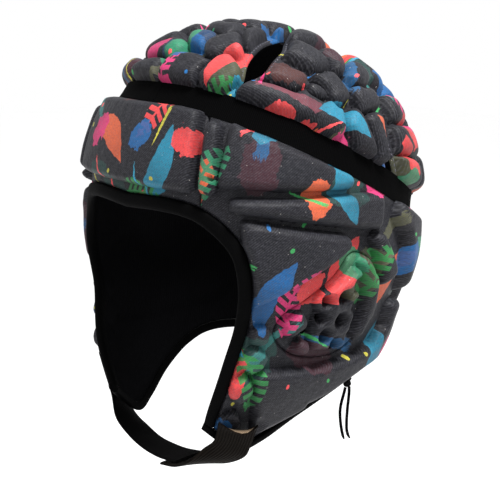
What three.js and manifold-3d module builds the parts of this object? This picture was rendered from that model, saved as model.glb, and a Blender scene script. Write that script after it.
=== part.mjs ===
// Rugby scrum cap: foam pads under a printed knit, sewn as a crown and a lower band that a black
// elastic gusset joins, with cheek flaps over the ears, bound edges, a chin strap and a nape lace.
// Millimetres, +Z up. The wearer looks along -Y and their left is +X. The origin is the point
// inside the crown that rests on the top of the head.

import * as THREE from 'three';
import { mergeVertices } from 'three/addons/utils/BufferGeometryUtils.js';
import Module from 'manifold-3d';

const wasm = await Module();
wasm.setup();

// Head form, measured over the pads from the middle of the head at the sizing line
const halfWidth = 93;
const frontReach = 84;
const backReach = 112;
const domeRise = 104;
const flapDrop = 133;
const planPower = 2.4;
const domePower = 2.1;

// Walls
const foamDepth = 10;
const seamDepth = 3;
const liningDepth = 1;
const gussetDepth = 2;
const bindingDepth = 5;
const gap = 0.3;

// Pads
const padWidth = 20;
const padShoulder = 6.5;
const padCorner = 1.6;

// Tilted hems on both sides of the elastic gusset
const hemTilt = THREE.MathUtils.degToRad(23.7);
const crownHem = 43.5;
const bandHem = 31;

// Bound edges
const faceBindingWidth = 8;
const neckBindingWidth = 5;

// Ear holes, strap and lace. The strap and tab press the pads in by strapSink where they cross them.
const earHole = 4.6;
const strapDepth = 1.6;
const strapSink = 2.8;
const laceDiameter = 1.8;
const laceKnotWidth = 8;
const laceKnotHeight = 6;
const laceTail = 31;
const laceAngle = 119;

// Mesh steps along the surface
const crownStep = 7.6;
const bandStep = 9.8;
const plainStep = 30;
const borderStep = 12.5;
const rimParts = 12;

const degree = Math.PI / 180;
const alongAngle = halfWidth * degree;
const innerFace = -foamDepth;
const liningOuter = innerFace - gap;
const liningInner = liningOuter - liningDepth;
const headTop = domeRise + liningInner;

const named = (columns, rows) => rows.map(
  (row) => Object.fromEntries(columns.map((column, index) => [column, row[index]])),
);

// Section of the head form below the sizing line: drop is a share of flapDrop, the others are
// shares of halfWidth, frontReach and backReach.
const headSections = named(['drop', 'width', 'front', 'back'], [
  [0.00, 1.00, 1.00, 1.000],
  [0.23, 1.02, 1.05, 0.940],
  [0.45, 0.94, 1.01, 0.855],
  [0.68, 0.865, 0.98, 0.750],
  [0.90, 0.71, 0.88, 0.655],
  [1.13, 0.55, 0.77, 0.580],
]);

// Edge of the print round the face, on the left half: angle from the brow in degrees, level as a
// share of flapDrop above the sizing line.
const faceLine = named(['angle', 'level'], [
  [0, 0.060],
  [17, 0.070],
  [29, 0.064],
  [38, 0.040],
  [48, -0.030],
  [54, -0.105],
  [57, -0.200],
  [58, -0.315],
  [57, -0.450],
  [54, -0.580],
  [51, -0.700],
  [47, -0.840],
  [45.5, -0.900],
]);

// Lower edge of the cap from the tip of the left flap to the middle of the nape
const neckLine = named(['angle', 'level'], [
  [40, -0.885],
  [48, -0.940],
  [59, -1.000],
  [73, -0.955],
  [91, -0.845],
  [106, -0.760],
  [117, -0.715],
  [135, -0.695],
  [155, -0.700],
  [180, -0.720],
]);

// Seams between the band's panels
const browSeam = 37;
const backSeam = 145;

// Border of the sunken ear pad on the left
const earLine = named(['angle', 'level'], [
  [98, -0.135],
  [89, -0.235],
  [79, -0.315],
  [70, -0.385],
  [68, -0.455],
  [75, -0.535],
  [89, -0.575],
  [101, -0.565],
  [110, -0.500],
  [113, -0.395],
  [111, -0.270],
  [105, -0.160],
]);

// Holes through the ear pad
const earHoles = named(['angle', 'level'], [
  [93, -0.308],
  [86, -0.318],
  [99, -0.262],
  [100, -0.350],
  [103, -0.425],
  [85, -0.388],
  [81, -0.448],
  [88, -0.470],
  [94, -0.408],
  [101, -0.490],
  [94, -0.515],
]);

// Pads are tapered and rounded, each along a spine. Rows with one name make one bent pad. Widths
// are shares of padWidth. On the band a place is an angle and a level, as above, and each pad
// lies on both sides of the head.
const bandColumns = ['pad', 'fromAngle', 'fromLevel', 'fromWidth', 'toAngle', 'toLevel', 'toWidth'];
const bandPads = named(bandColumns, [
  ['brow', -34.5, 0.280, 2.25, 34.5, 0.280, 2.25],
  ['temple', 40.8, 0.400, 0.52, 40.0, 0.110, 0.52],
  ['wedge', 45.6, 0.275, 1.78, 96, 0.160, 0.36],
  ['roll', 48.5, 0.072, 0.32, 110, 0.030, 1.05],
  ['cheek', 55, -0.165, 2.40, 95, -0.085, 0.34],
  ['cheekLow', 61.5, -0.415, 0.55, 62.5, -0.495, 0.50],
  ['jawHigh', 57.5, -0.530, 0.72, 64, -0.590, 0.66],
  ['jawMid', 54, -0.650, 0.78, 59.5, -0.725, 0.74],
  ['jawTip', 52, -0.800, 0.60, 55, -0.880, 0.60],
  ['jaw', 62.5, -0.760, 2.05, 84, -0.715, 1.30],
  ['jaw', 82, -0.715, 1.25, 106, -0.655, 0.84],
  ['jaw', 104, -0.660, 0.84, 124, -0.610, 0.80],
  ['jaw', 122, -0.618, 0.80, 134, -0.520, 0.76],
  ['jaw', 133, -0.545, 0.76, 131, -0.390, 0.60],
  ['almond', 108, -0.060, 0.45, 116, -0.270, 0.72],
  ['rearHigh', 118, 0.040, 0.55, 130, -0.020, 0.50],
  ['rear', 126, -0.090, 0.62, 137, -0.330, 0.95],
  ['backOuter', 152, -0.150, 0.85, 153, -0.620, 1.00],
  ['backInner', 168, -0.180, 0.85, 168, -0.640, 0.85],
]);

// On the ear pad: the crescent behind the ear, and the lobes that the holes divide
const earPads = named(bandColumns, [
  ['crescent', 101, -0.155, 0.40, 107, -0.290, 0.50],
  ['crescent', 106.5, -0.270, 0.50, 109, -0.400, 0.50],
  ['crescent', 109, -0.380, 0.50, 106, -0.510, 0.42],
  ['net', 100, -0.200, 0.30, 88, -0.345, 1.10],
  ['net', 92, -0.330, 1.45, 91, -0.540, 1.45],
  ['lobe', 71, -0.440, 0.62, 79, -0.385, 0.60],
  ['lobeLow', 76, -0.500, 0.48, 83, -0.530, 0.40],
]);

// On the crown a place is given on a map: x towards the left ear and y towards the back, in
// hundredths of a radian from the crown's own axis, which leans back by hemTilt. These pads are
// the front ones, each named once.
const crownColumns = ['pad', 'fromX', 'fromY', 'fromWidth', 'toX', 'toY', 'toWidth'];
const frontPads = named(crownColumns, [
  ['a', -62, -88, 1.0, -50, -101, 1.1],
  ['b', -32, -88, 0.72, -3, -87, 0.70],
  ['c', 0, -104, 1.0, 33, -101, 1.15],
  ['d', -38, -106, 1.0, -8, -107, 0.95],
  ['e', -6, -74, 0.66, 12, -75, 0.70],
  ['f', 47, -101, 0.95, 48, -80, 1.15],
  ['g', 22, -84, 0.72, 32, -67, 1.00],
  ['h', -6, -61, 0.66, 17, -59, 0.74],
  ['i', 24, -49, 0.70, 40, -57, 0.80],
  ['j', -25, -71, 0.70, -45, -76, 0.90],
  ['k', -24, -52, 0.76, -40, -60, 0.80],
  ['l', 1, -46, 0.84, 14, -38, 0.66],
  ['m', -8, -46, 0.66, -14, -36, 0.66],
]);

// The crown's other pads, which lie on both sides of its middle
const crownPads = named(crownColumns, [
  ['long', 71, -88, 0.72, 97, -26, 0.86],
  ['long', 97, -30, 0.86, 101, -16, 0.60],
  ['wedge', 64, -67, 0.50, 79, -46, 1.00],
  ['high', 45, -39, 0.86, 61, -21, 0.80],
  ['peak', 27, -31, 0.80, 23, -7, 0.90],
  ['small', 44, -14, 0.60, 60, -8, 0.54],
  ['waist', 66, -27, 0.62, 84, -15, 0.66],
  ['nib', 80, -40, 0.44, 86, -30, 0.44],
  ['g', 64, 0, 0.66, 49, 11, 0.62],
  ['h', 80, -2, 0.68, 70, 14, 0.62],
  ['i', 92, -9, 0.66, 112, 12, 0.60],
  ['j', 86, 10, 0.66, 106, 28, 0.60],
  ['ridge', 0, -28, 0.94, 0, -10, 0.96],
  ['ridgeMid', 0, 0, 1.10, 0, 16, 1.20],
  ['k', 68, 31, 0.72, 58, 46, 0.84],
  ['backHigh', 20, 26, 0.80, 44, 30, 0.80],
  ['backRidge', 0, 30, 1.0, 0, 46, 1.0],
  ['backMid', 20, 46, 0.82, 42, 48, 0.84],
  ['l', 85, 39, 0.66, 66, 62, 0.84],
  ['backLow', 16, 64, 0.90, 46, 66, 0.90],
  ['m', 102, 48, 0.66, 84, 74, 0.96],
  ['napeHigh', 12, 84, 0.86, 40, 84, 0.90],
  ['napeSide', 58, 78, 0.80, 68, 90, 0.90],
  ['nape', 14, 104, 0.95, 46, 101, 0.95],
]);

// Border of the middle panel of the crown on the left, and of the side panel: they part at the
// front vent and at the vent over the ear's back.
const middleLine = named(['x', 'y'], [
  [77, -108],
  [68, -93],
  [61, -79],
  [51, -67],
  [41, -50],
  [29, -32],
  [17, -20],
  [14, -3],
  [24, 13],
  [42, 20],
  [60, 22],
  [80, 22],
  [92, 33],
  [98, 43],
  [114, 64],
]);

const sideLine = named(['x', 'y'], [
  [77, -108],
  [68, -93],
  [62, -78],
  [60, -65],
  [51, -53],
  [41, -41],
  [29, -32],
  [17, -20],
  [14, -3],
  [24, 13],
  [42, 20],
  [60, 22],
  [80, 21],
  [94, 24],
  [104, 35],
  [122, 54],
]);

// Where on the crown's map, from front to back, the lining leaves each pair of vents open
const frontVent = [-82, -30];
const rearVent = [23, 66];

const crownMapReach = 138;
const bandTop = 0.56 * flapDrop;
const bandFoot = -1.12 * flapDrop;

// The chin strap's two edges, from the tip of the right flap, under the chin, to where the tab
// covers it. On the flap a place is an angle and a level; below it, x, y and z are shares of
// halfWidth, frontReach and flapDrop.
const strapOnFlap = named(['frontAngle', 'frontLevel', 'rearAngle', 'rearLevel'], [
  [-45, -0.740, -61, -0.800],
  [-44, -0.825, -60, -0.905],
  [-43.5, -0.910, -59.5, -1.015],
]);
const strapHanging = named(['frontX', 'frontY', 'frontZ', 'rearX', 'rearY', 'rearZ'], [
  [-0.420, -0.650, -0.975, -0.375, -0.430, -1.045],
  [-0.280, -0.660, -1.025, -0.235, -0.430, -1.055],
  [-0.090, -0.675, -1.068, -0.060, -0.445, -1.060],
  [0.110, -0.680, -1.085, 0.120, -0.455, -1.055],
  [0.280, -0.670, -1.078, 0.280, -0.450, -1.040],
]);

// The hook tape tab, which carries on from the strap and lies on the outside of the left flap
const tabHanging = named(['frontX', 'frontY', 'frontZ', 'rearX', 'rearY', 'rearZ'], [
  [0.140, -0.690, -1.103, 0.130, -0.450, -1.073],
  [0.290, -0.685, -1.096, 0.290, -0.445, -1.059],
  [0.430, -0.665, -1.070, 0.440, -0.420, -1.055],
]);
const tabOnFlap = named(['frontAngle', 'frontLevel', 'rearAngle', 'rearLevel'], [
  [44, -1.000, 62, -1.015],
  [46, -0.920, 64, -0.940],
  [48, -0.830, 65.5, -0.850],
]);

// The two tails of the lace under its knot: outward and along the edge in millimetres, drop as a
// share of laceTail
const laceTails = {
  front: named(['outward', 'along', 'drop'], [
    [-0.6, -1.4, 0.00],
    [-0.9, -1.6, 0.07],
    [-1.3, -1.8, 0.14],
    [-1.7, -2.1, 0.21],
    [-2.1, -2.3, 0.28],
    [-2.4, -2.4, 0.35],
    [-2.6, -2.4, 0.42],
    [-2.6, -2.3, 0.49],
    [-2.5, -2.1, 0.56],
    [-2.3, -1.9, 0.63],
    [-2.0, -1.7, 0.70],
    [-1.6, -1.6, 0.77],
    [-1.1, -1.5, 0.84],
    [-0.4, -1.6, 0.91],
    [0.5, -1.8, 0.97],
  ]),
  rear: named(['outward', 'along', 'drop'], [
    [0.8, 1.4, 0.00],
    [0.9, 1.5, 0.07],
    [0.9, 1.6, 0.14],
    [0.8, 1.6, 0.21],
    [0.7, 1.6, 0.28],
    [0.6, 1.5, 0.35],
    [0.5, 1.4, 0.42],
    [0.5, 1.3, 0.49],
    [0.5, 1.2, 0.56],
    [0.5, 1.1, 0.63],
    [0.6, 1.1, 0.70],
    [0.7, 1.1, 0.77],
    [1.0, 1.2, 0.84],
    [1.7, 1.4, 0.90],
    [2.8, 1.7, 0.94],
  ]),
};

const smoothStepBetween = (low, high, tangentLow, tangentHigh, step, share) => {
  const square = share * share;
  const cube = square * share;
  return low * (2 * cube - 3 * square + 1)
    + tangentLow * step * (cube - 2 * square + share)
    + high * (3 * square - 2 * cube)
    + tangentHigh * step * (cube - square);
};

// Smooth value of one column of the head's sections at a drop
function sectionShare(column, drop) {
  const last = headSections.length - 1;
  const slope = (index) => {
    if (index === 0) return 0;
    const before = headSections[index - 1];
    const after = headSections[Math.min(index + 1, last)];
    return (after[column] - before[column]) / (after.drop - before.drop);
  };
  let index = 0;
  while (index < last - 1 && drop > headSections[index + 1].drop) index += 1;
  const low = headSections[index];
  const high = headSections[index + 1];
  const step = high.drop - low.drop;
  const share = THREE.MathUtils.clamp((drop - low.drop) / step, 0, 1);
  return smoothStepBetween(low[column], high[column], slope(index), slope(index + 1), step, share);
}

// Outward direction of the head form at one of its points
function headNormal(point, widthShare, lengthShare) {
  const reach = (point.y < 0 ? frontReach : backReach) * lengthShare;
  const width = halfWidth * widthShare;
  const across = Math.abs(point.x) / width;
  const along = Math.abs(point.y) / reach;
  const plan = Math.max(across ** planPower + along ** planPower, 1e-9);
  const pull = point.z > 0 ? plan ** (domePower / planPower - 1) : 1;
  const rise = point.z > 0 ? (point.z / domeRise) ** (domePower - 1) / domeRise : 0;
  return new THREE.Vector3(
    Math.sign(point.x) * pull * across ** (planPower - 1) / width,
    Math.sign(point.y) * pull * along ** (planPower - 1) / reach,
    rise,
  ).normalize();
}

// Point of the head form at an angle from the brow and a height over the sizing line, moved
// outwards by an offset
function bandPoint(angle, height, offset) {
  const up = THREE.MathUtils.clamp(height / domeRise, 0, 0.98);
  const rise = (1 - up ** domePower) ** (1 / domePower);
  const drop = Math.max(-height, 0) / flapDrop;
  const sine = Math.sin(angle * degree);
  const cosine = Math.cos(angle * degree);
  const widthShare = rise * sectionShare('width', drop);
  const lengthShare = rise * sectionShare(cosine > 0 ? 'front' : 'back', drop);
  const reach = (cosine > 0 ? frontReach : backReach) * lengthShare;
  const across = Math.abs(sine) / (halfWidth * widthShare);
  const along = Math.abs(cosine) / reach;
  const radius = (across ** planPower + along ** planPower) ** (-1 / planPower);
  const point = new THREE.Vector3(radius * sine, -radius * cosine, height);
  const normal = headNormal(point, height > 0 ? 1 : widthShare, height > 0 ? 1 : lengthShare);
  return point.addScaledVector(normal, offset);
}

// Direction from the middle of the head to a place on the crown's map
function crownDirection(x, y) {
  const lean = Math.hypot(x, y) / 100;
  const heading = Math.atan2(x, y);
  const aside = Math.sin(lean) * Math.sin(heading);
  const back = Math.sin(lean) * Math.cos(heading);
  const up = Math.cos(lean);
  return new THREE.Vector3(
    aside,
    back * Math.cos(hemTilt) + up * Math.sin(hemTilt),
    up * Math.cos(hemTilt) - back * Math.sin(hemTilt),
  );
}

function crownPoint(x, y, offset) {
  const direction = crownDirection(x, y);
  const reach = direction.y < 0 ? frontReach : backReach;
  const across = Math.abs(direction.x) / halfWidth;
  const along = Math.abs(direction.y) / reach;
  const plan = across ** planPower + along ** planPower;
  const rise = direction.z > 0 ? (direction.z / domeRise) ** domePower : 0;
  const radius = (plan ** (domePower / planPower) + rise) ** (-1 / domePower);
  const point = direction.multiplyScalar(radius);
  return point.addScaledVector(headNormal(point, 1, 1), offset);
}

// Height of a point over one of the tilted hems
const overHem = (point, hem) => (point.z - hem + Math.tan(hemTilt) * point.y) * Math.cos(hemTilt);

// Distance from a place on a flat map to a line of points
function distanceToLine(line, x, y) {
  let least = Infinity;
  for (let index = 1; index < line.length; index += 1) {
    const [startX, startY] = line[index - 1];
    const runX = line[index][0] - startX;
    const runY = line[index][1] - startY;
    const share = ((x - startX) * runX + (y - startY) * runY) / (runX ** 2 + runY ** 2);
    const held = THREE.MathUtils.clamp(share, 0, 1);
    least = Math.min(least, Math.hypot(x - startX - held * runX, y - startY - held * runY));
  }
  return least;
}

const softLeast = (values) => -padCorner * Math.log(
  values.reduce((sum, value) => sum + Math.exp(-value / padCorner), 0),
);

// How far inside a tapered pad a place lies, negative outside it
function depthInPad(pad, x, y) {
  const runX = pad.endX - pad.startX;
  const runY = pad.endY - pad.startY;
  const length = Math.hypot(runX, runY);
  const along = ((x - pad.startX) * runX + (y - pad.startY) * runY) / length;
  const aside = Math.abs((x - pad.startX) * runY - (y - pad.startY) * runX) / length;
  const taper = (pad.endHalf - pad.startHalf) / length;
  const half = pad.startHalf + taper * along;
  return softLeast([along, length - along, (half - aside) / Math.hypot(1, taper)]);
}

// Depth from the nearest groove: pads that meet share one groove, and between pads that lie
// apart the fabric is flat
function depthInPads(pads, x, y) {
  const depths = new Map();
  for (const pad of pads) {
    const depth = depthInPad(pad, x, y);
    depths.set(pad.name, Math.max(depth, depths.get(pad.name) ?? -Infinity));
  }
  const [first, second] = [...depths.values()].sort((a, b) => b - a);
  return Math.min(first, (first - second) / 2);
}

// A pad's wall rises from the seam to the full foam over its shoulder
function padOffset(depth) {
  const share = THREE.MathUtils.clamp(depth / padShoulder, 0, 1);
  const swell = Math.sqrt(1 - (1 - share) ** 2);
  return innerFace + seamDepth + (foamDepth - seamDepth) * swell;
}

const onBand = (row) => ({
  name: row.pad,
  startX: row.fromAngle * alongAngle,
  startY: row.fromLevel * flapDrop,
  startHalf: row.fromWidth * padWidth / 2,
  endX: row.toAngle * alongAngle,
  endY: row.toLevel * flapDrop,
  endHalf: row.toWidth * padWidth / 2,
});

const onCrown = (row) => ({
  name: row.pad,
  startX: row.fromX,
  startY: row.fromY,
  startHalf: row.fromWidth * padWidth / 2,
  endX: row.toX,
  endY: row.toY,
  endHalf: row.toWidth * padWidth / 2,
});

const mirrored = (pad) => ({ ...pad, name: `${pad.name} right`, startX: -pad.startX, endX: -pad.endX });

const bandPadList = bandPads.map(onBand);
const earPadList = earPads.map(onBand);
const crownPadList = [
  ...frontPads.map(onCrown).map((pad) => ({ ...pad, name: `front ${pad.name}` })),
  ...crownPads.map(onCrown),
  ...crownPads.filter((row) => row.fromX > 0).map(onCrown).map(mirrored),
];

const smoothLine = (points, step) => {
  const curve = new THREE.CatmullRomCurve3(points.map(([x, y]) => new THREE.Vector3(x, y, 0)));
  const count = Math.ceil(curve.getLength() / step);
  return curve.getSpacedPoints(count).map(({ x, y }) => [x, y]);
};

const smoothLoop = (points, step) => {
  const corners = points.map(([x, y]) => new THREE.Vector3(x, y, 0));
  const curve = new THREE.CatmullRomCurve3(corners, true);
  const count = Math.ceil(curve.getLength() / step);
  return curve.getSpacedPoints(count).slice(0, -1).map(({ x, y }) => [x, y]);
};

// A line moved sideways, to its left as it runs for a positive distance
function movedLine(line, distance) {
  return line.map(([x, y], index) => {
    const before = line[Math.max(index - 1, 0)];
    const after = line[Math.min(index + 1, line.length - 1)];
    const runX = after[0] - before[0];
    const runY = after[1] - before[1];
    const length = Math.hypot(runX, runY);
    return [x - distance * runY / length, y + distance * runX / length];
  });
}

const bandPlace = ({ angle, level }) => [angle * alongAngle, level * flapDrop];
const facePrintEdge = smoothLine(faceLine.map(bandPlace), 1.3 * borderStep);
const neckEdge = smoothLine(neckLine.map(bandPlace), 1.6 * borderStep);
const earBorder = smoothLoop(earLine.map(bandPlace), borderStep);
const crownPlace = ({ x, y }) => [x, y];
const middleBorder = smoothLine(middleLine.map(crownPlace), borderStep);
const sideBorder = smoothLine(sideLine.map(crownPlace), borderStep);

// Mean of a face's offset over one mesh cell, so that coarse cells keep the pads' true swell
function meanOver(reliefAt, cell) {
  const steps = [-cell / 2, 0, cell / 2];
  const places = steps.flatMap((across) => steps.map((along) => [across, along]));
  return (x, y) => places.reduce(
    (sum, [across, along]) => sum + reliefAt(x + across, y + along) / places.length,
    0,
  );
}

// Outer face of the band's pads at a place on the band
function bandRelief(x, height) {
  const side = Math.abs(x);
  const edge = Math.min(
    distanceToLine(facePrintEdge, side, height),
    distanceToLine(neckEdge, side, height) - neckBindingWidth,
  );
  const border = distanceToLine([...earBorder, earBorder[0]], side, height);
  const hem = -overHem(bandPoint(x / alongAngle, height, 0), bandHem);
  return padOffset(Math.min(depthInPads(bandPadList, side, height), edge, border, hem));
}

function earRelief(x, height) {
  const side = Math.abs(x);
  const border = distanceToLine([...earBorder, earBorder[0]], side, height);
  const hole = Math.min(...earHoles.map(bandPlace).map(
    ([holeX, holeY]) => Math.hypot(side - holeX, height - holeY) - earHole / 2,
  ));
  return padOffset(Math.min(depthInPads(earPadList, side, height), border, hole));
}

function crownRelief(x, y) {
  const side = Math.abs(x);
  const seam = Math.min(
    distanceToLine(middleBorder, side, y),
    distanceToLine(sideBorder, side, y),
  );
  const hem = overHem(crownPoint(x, y, 0), crownHem);
  return padOffset(Math.min(depthInPads(crownPadList, x, y), seam, hem));
}

function solidOf(points, triangles) {
  const vertProperties = new Float32Array(points.flatMap(({ x, y, z }) => [x, y, z]));
  const triVerts = new Uint32Array(triangles.flat());
  return new wasm.Manifold(new wasm.Mesh({ numProp: 3, vertProperties, triVerts }));
}

function solidOfGeometry(geometry) {
  const bare = geometry.index ? geometry.toNonIndexed() : geometry.clone();
  bare.deleteAttribute('normal');
  bare.deleteAttribute('uv');
  const merged = mergeVertices(bare, 1e-4);
  return new wasm.Manifold(new wasm.Mesh({
    numProp: 3,
    vertProperties: merged.attributes.position.array,
    triVerts: new Uint32Array(merged.index.array),
  }));
}

// Two triangles for each cell of a grid whose rows wrap round or not
function gridTriangles(columns, rows, wraps, start = 0) {
  const triangles = [];
  const stride = wraps ? columns : columns + 1;
  for (let row = 0; row < rows; row += 1) {
    for (let column = 0; column < columns; column += 1) {
      const next = wraps ? (column + 1) % columns : column + 1;
      const a = start + row * stride + column;
      const b = start + row * stride + next;
      const c = start + (row + 1) * stride + next;
      const d = start + (row + 1) * stride + column;
      triangles.push([a, b, c], [a, c, d]);
    }
  }
  return triangles;
}

// Solid core of the band: everything inside one of its faces, closed by a cone at each end
function bandCore(offsetAt, step, extraRows) {
  const columns = 2 * Math.round(Math.PI * halfWidth / step);
  const plainRows = Math.round((bandTop - bandFoot) / step);
  const rows = plainRows + 2 * extraRows;
  const rowHeight = (bandTop - bandFoot) / plainRows;
  const low = bandFoot - extraRows * rowHeight;
  const high = bandTop + extraRows * rowHeight;
  const points = [];
  for (let row = 0; row <= rows; row += 1) {
    const height = low + row * rowHeight;
    for (let column = 0; column < columns; column += 1) {
      const angle = 360 * column / columns - 180;
      points.push(bandPoint(angle, height, offsetAt(angle * alongAngle, height)));
    }
  }
  const triangles = gridTriangles(columns, rows, true);
  const foot = points.push(new THREE.Vector3(0, 0, low)) - 1;
  const head = points.push(new THREE.Vector3(0, 0, high)) - 1;
  for (let column = 0; column < columns; column += 1) {
    const next = (column + 1) % columns;
    triangles.push([next, column, foot]);
    triangles.push([rows * columns + column, rows * columns + next, head]);
  }
  return solidOf(points, triangles);
}

// Place on the crown's map of a place on a square, so that cells keep nearly one size
function squareToMap(a, b, reach) {
  const across = Math.abs(a) > Math.abs(b);
  const longer = across ? a : b;
  const shorter = across ? b : a;
  const turn = longer === 0 ? 0 : (Math.PI / 4) * (shorter / longer);
  const long = longer * reach * Math.cos(turn);
  const short = longer * reach * Math.sin(turn);
  return across ? [long, short] : [short, long];
}

// Solid core of the crown: everything inside one of its faces, closed by a cone
function crownCore(offsetAt, step, extraRows) {
  const plainCells = 2 * Math.round(0.84 * crownMapReach / step);
  const cells = plainCells + 2 * extraRows;
  const place = (index) => 2 * (index - extraRows) / plainCells - 1;
  const points = [];
  for (let row = 0; row <= cells; row += 1) {
    for (let column = 0; column <= cells; column += 1) {
      const [x, y] = squareToMap(place(column), place(row), crownMapReach);
      points.push(crownPoint(x, -y, offsetAt(x, -y)));
    }
  }
  const triangles = gridTriangles(cells, cells, false).map(([a, b, c]) => [a, c, b]);
  const stride = cells + 1;
  const foot = points.push(new THREE.Vector3(0, 0, 0)) - 1;
  for (let index = 0; index < cells; index += 1) {
    triangles.push([index, index + 1, foot]);
    triangles.push([cells * stride + index + 1, cells * stride + index, foot]);
    triangles.push([(index + 1) * stride, index * stride, foot]);
    triangles.push([index * stride + cells, (index + 1) * stride + cells, foot]);
  }
  return solidOf(points, triangles);
}

// Knife through a wall: the outline of a piece, repeated on layers from inside the wall outwards
function knife(outline, layerPoints) {
  const flat = outline.map(([x, y]) => new THREE.Vector2(x, y));
  const ordered = THREE.ShapeUtils.isClockWise(flat) ? flat.reverse() : flat;
  const count = ordered.length;
  const far = (layerPoints.length - 1) * count;
  const points = layerPoints.flatMap((pointAt) => ordered.map(({ x, y }) => pointAt(x, y)));
  const caps = THREE.ShapeUtils.triangulateShape(ordered, []);
  const triangles = caps.flatMap(([a, b, c]) => [[a + far, b + far, c + far], [a, c, b]]);
  for (let layer = 0; layer < far; layer += count) {
    for (let index = 0; index < count; index += 1) {
      const here = layer + index;
      const next = layer + (index + 1) % count;
      triangles.push([here, next, next + count], [here, next + count, here + count]);
    }
  }
  return solidOf(points, triangles);
}

function bandRay(x, height, radius) {
  const angle = x / alongAngle * degree;
  return new THREE.Vector3(radius * Math.sin(angle), -radius * Math.cos(angle), height);
}

function besideBand(x, height, offset) {
  const { x: across, y: along } = bandPoint(x / alongAngle, height, 0);
  return bandRay(x, height, Math.hypot(across, along) + offset);
}

const bandLayers = [
  (x, height) => bandRay(x, height, 0.15 * halfWidth),
  (x, height) => besideBand(x, height, -1.6 * foamDepth),
  (x, height) => besideBand(x, height, 0.8 * foamDepth),
  (x, height) => bandRay(x, height, 2 * halfWidth),
];
const crownLayers = [
  (x, y) => crownDirection(x, y).multiplyScalar(0.15 * halfWidth),
  (x, y) => crownDirection(x, y).multiplyScalar(4 * halfWidth),
];
const bandKnife = (outline) => knife(outline, bandLayers);
const crownKnife = (outline) => knife(outline, crownLayers);

// All of space over a tilted hem
function overHemBlock(hem) {
  const size = 6 * (halfWidth + domeRise);
  const block = new THREE.BoxGeometry(size, size, size);
  block.translate(0, 0, size / 2);
  block.rotateX(-hemTilt);
  block.translate(0, 0, hem);
  return solidOfGeometry(block);
}

const flipped = (line) => line.map(([x, y]) => [-x, y]);

// Closed outline with long straight runs divided, so that its knife follows the round head
function divided(outline) {
  const longest = 3 * borderStep;
  return outline.flatMap(([x, y], index) => {
    const [nextX, nextY] = outline[(index + 1) % outline.length];
    const count = Math.ceil(Math.hypot(nextX - x, nextY - y) / longest);
    return Array.from({ length: count }, (_, part) => [
      x + (nextX - x) * part / count,
      y + (nextY - y) * part / count,
    ]);
  });
}

const halfTurn = 180 * alongAngle;
const overlap = 1;
const knifeTop = 1.2 * bandTop;
const knifeFoot = 1.4 * bandFoot;

// Knife for the band between two angles
function bandSector(fromAngle, toAngle, margin) {
  const from = fromAngle * alongAngle + margin;
  const to = toAngle * alongAngle - margin;
  const [foot, top] = [knifeFoot, knifeTop];
  return bandKnife(divided([[from, foot], [to, foot], [to, top], [from, top]]));
}

// Knife for the face opening, larger than the print's edge by a margin
function faceKnife(margin) {
  const edge = movedLine(facePrintEdge, margin);
  edge[0] = [0, edge[0][1]];
  const [lastX] = edge[edge.length - 1];
  const half = [...edge, [lastX, knifeFoot]];
  return bandKnife(divided([...half, ...flipped(half.slice(1)).reverse()]));
}

// Knives for all that hangs below a line parallel to the neck edge
function belowNeck(rise) {
  const edge = movedLine(neckEdge, rise);
  const [firstX, firstY] = edge[0];
  const [, lastY] = edge[edge.length - 1];
  const end = halfTurn + overlap;
  const line = [[firstX - bandStep, firstY], ...edge.slice(0, -1), [end, lastY]];
  const left = divided([...line, [end, knifeFoot], [firstX - bandStep, knifeFoot]]);
  return bandKnife(left).add(bandKnife(flipped(left)));
}

const trimmedBand = (wall, margin) => wall
  .subtract(faceKnife(margin))
  .subtract(belowNeck(neckBindingWidth + margin))
  .subtract(overHemBlock(bandHem - gap));

const foamInner = bandCore(() => innerFace, plainStep, 1);
const bandFoam = trimmedBand(
  bandCore(meanOver(bandRelief, bandStep), bandStep, 0).subtract(foamInner),
  gap,
);
const earFoam = bandCore(meanOver(earRelief, bandStep), bandStep, 0).subtract(foamInner);

const resized = (outline, margin) => {
  const closed = [outline[outline.length - 1], ...outline, outline[0]];
  return movedLine(closed, margin).slice(1, -1);
};

const pieces = [];
const addPiece = (name, solid, material) => pieces.push({ name, solid, material });

// Finishes
const printed = new THREE.MeshStandardMaterial({ color: 0x2f2f38, roughness: 0.85, metalness: 0 });
const elastic = new THREE.MeshStandardMaterial({ color: 0x0b0b0c, roughness: 0.9, metalness: 0 });
const bound = new THREE.MeshStandardMaterial({ color: 0x0e0e10, roughness: 0.8, metalness: 0 });
const lined = new THREE.MeshStandardMaterial({ color: 0x101013, roughness: 0.95, metalness: 0 });
const webbing = new THREE.MeshStandardMaterial({ color: 0x17130f, roughness: 0.85, metalness: 0 });

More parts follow.
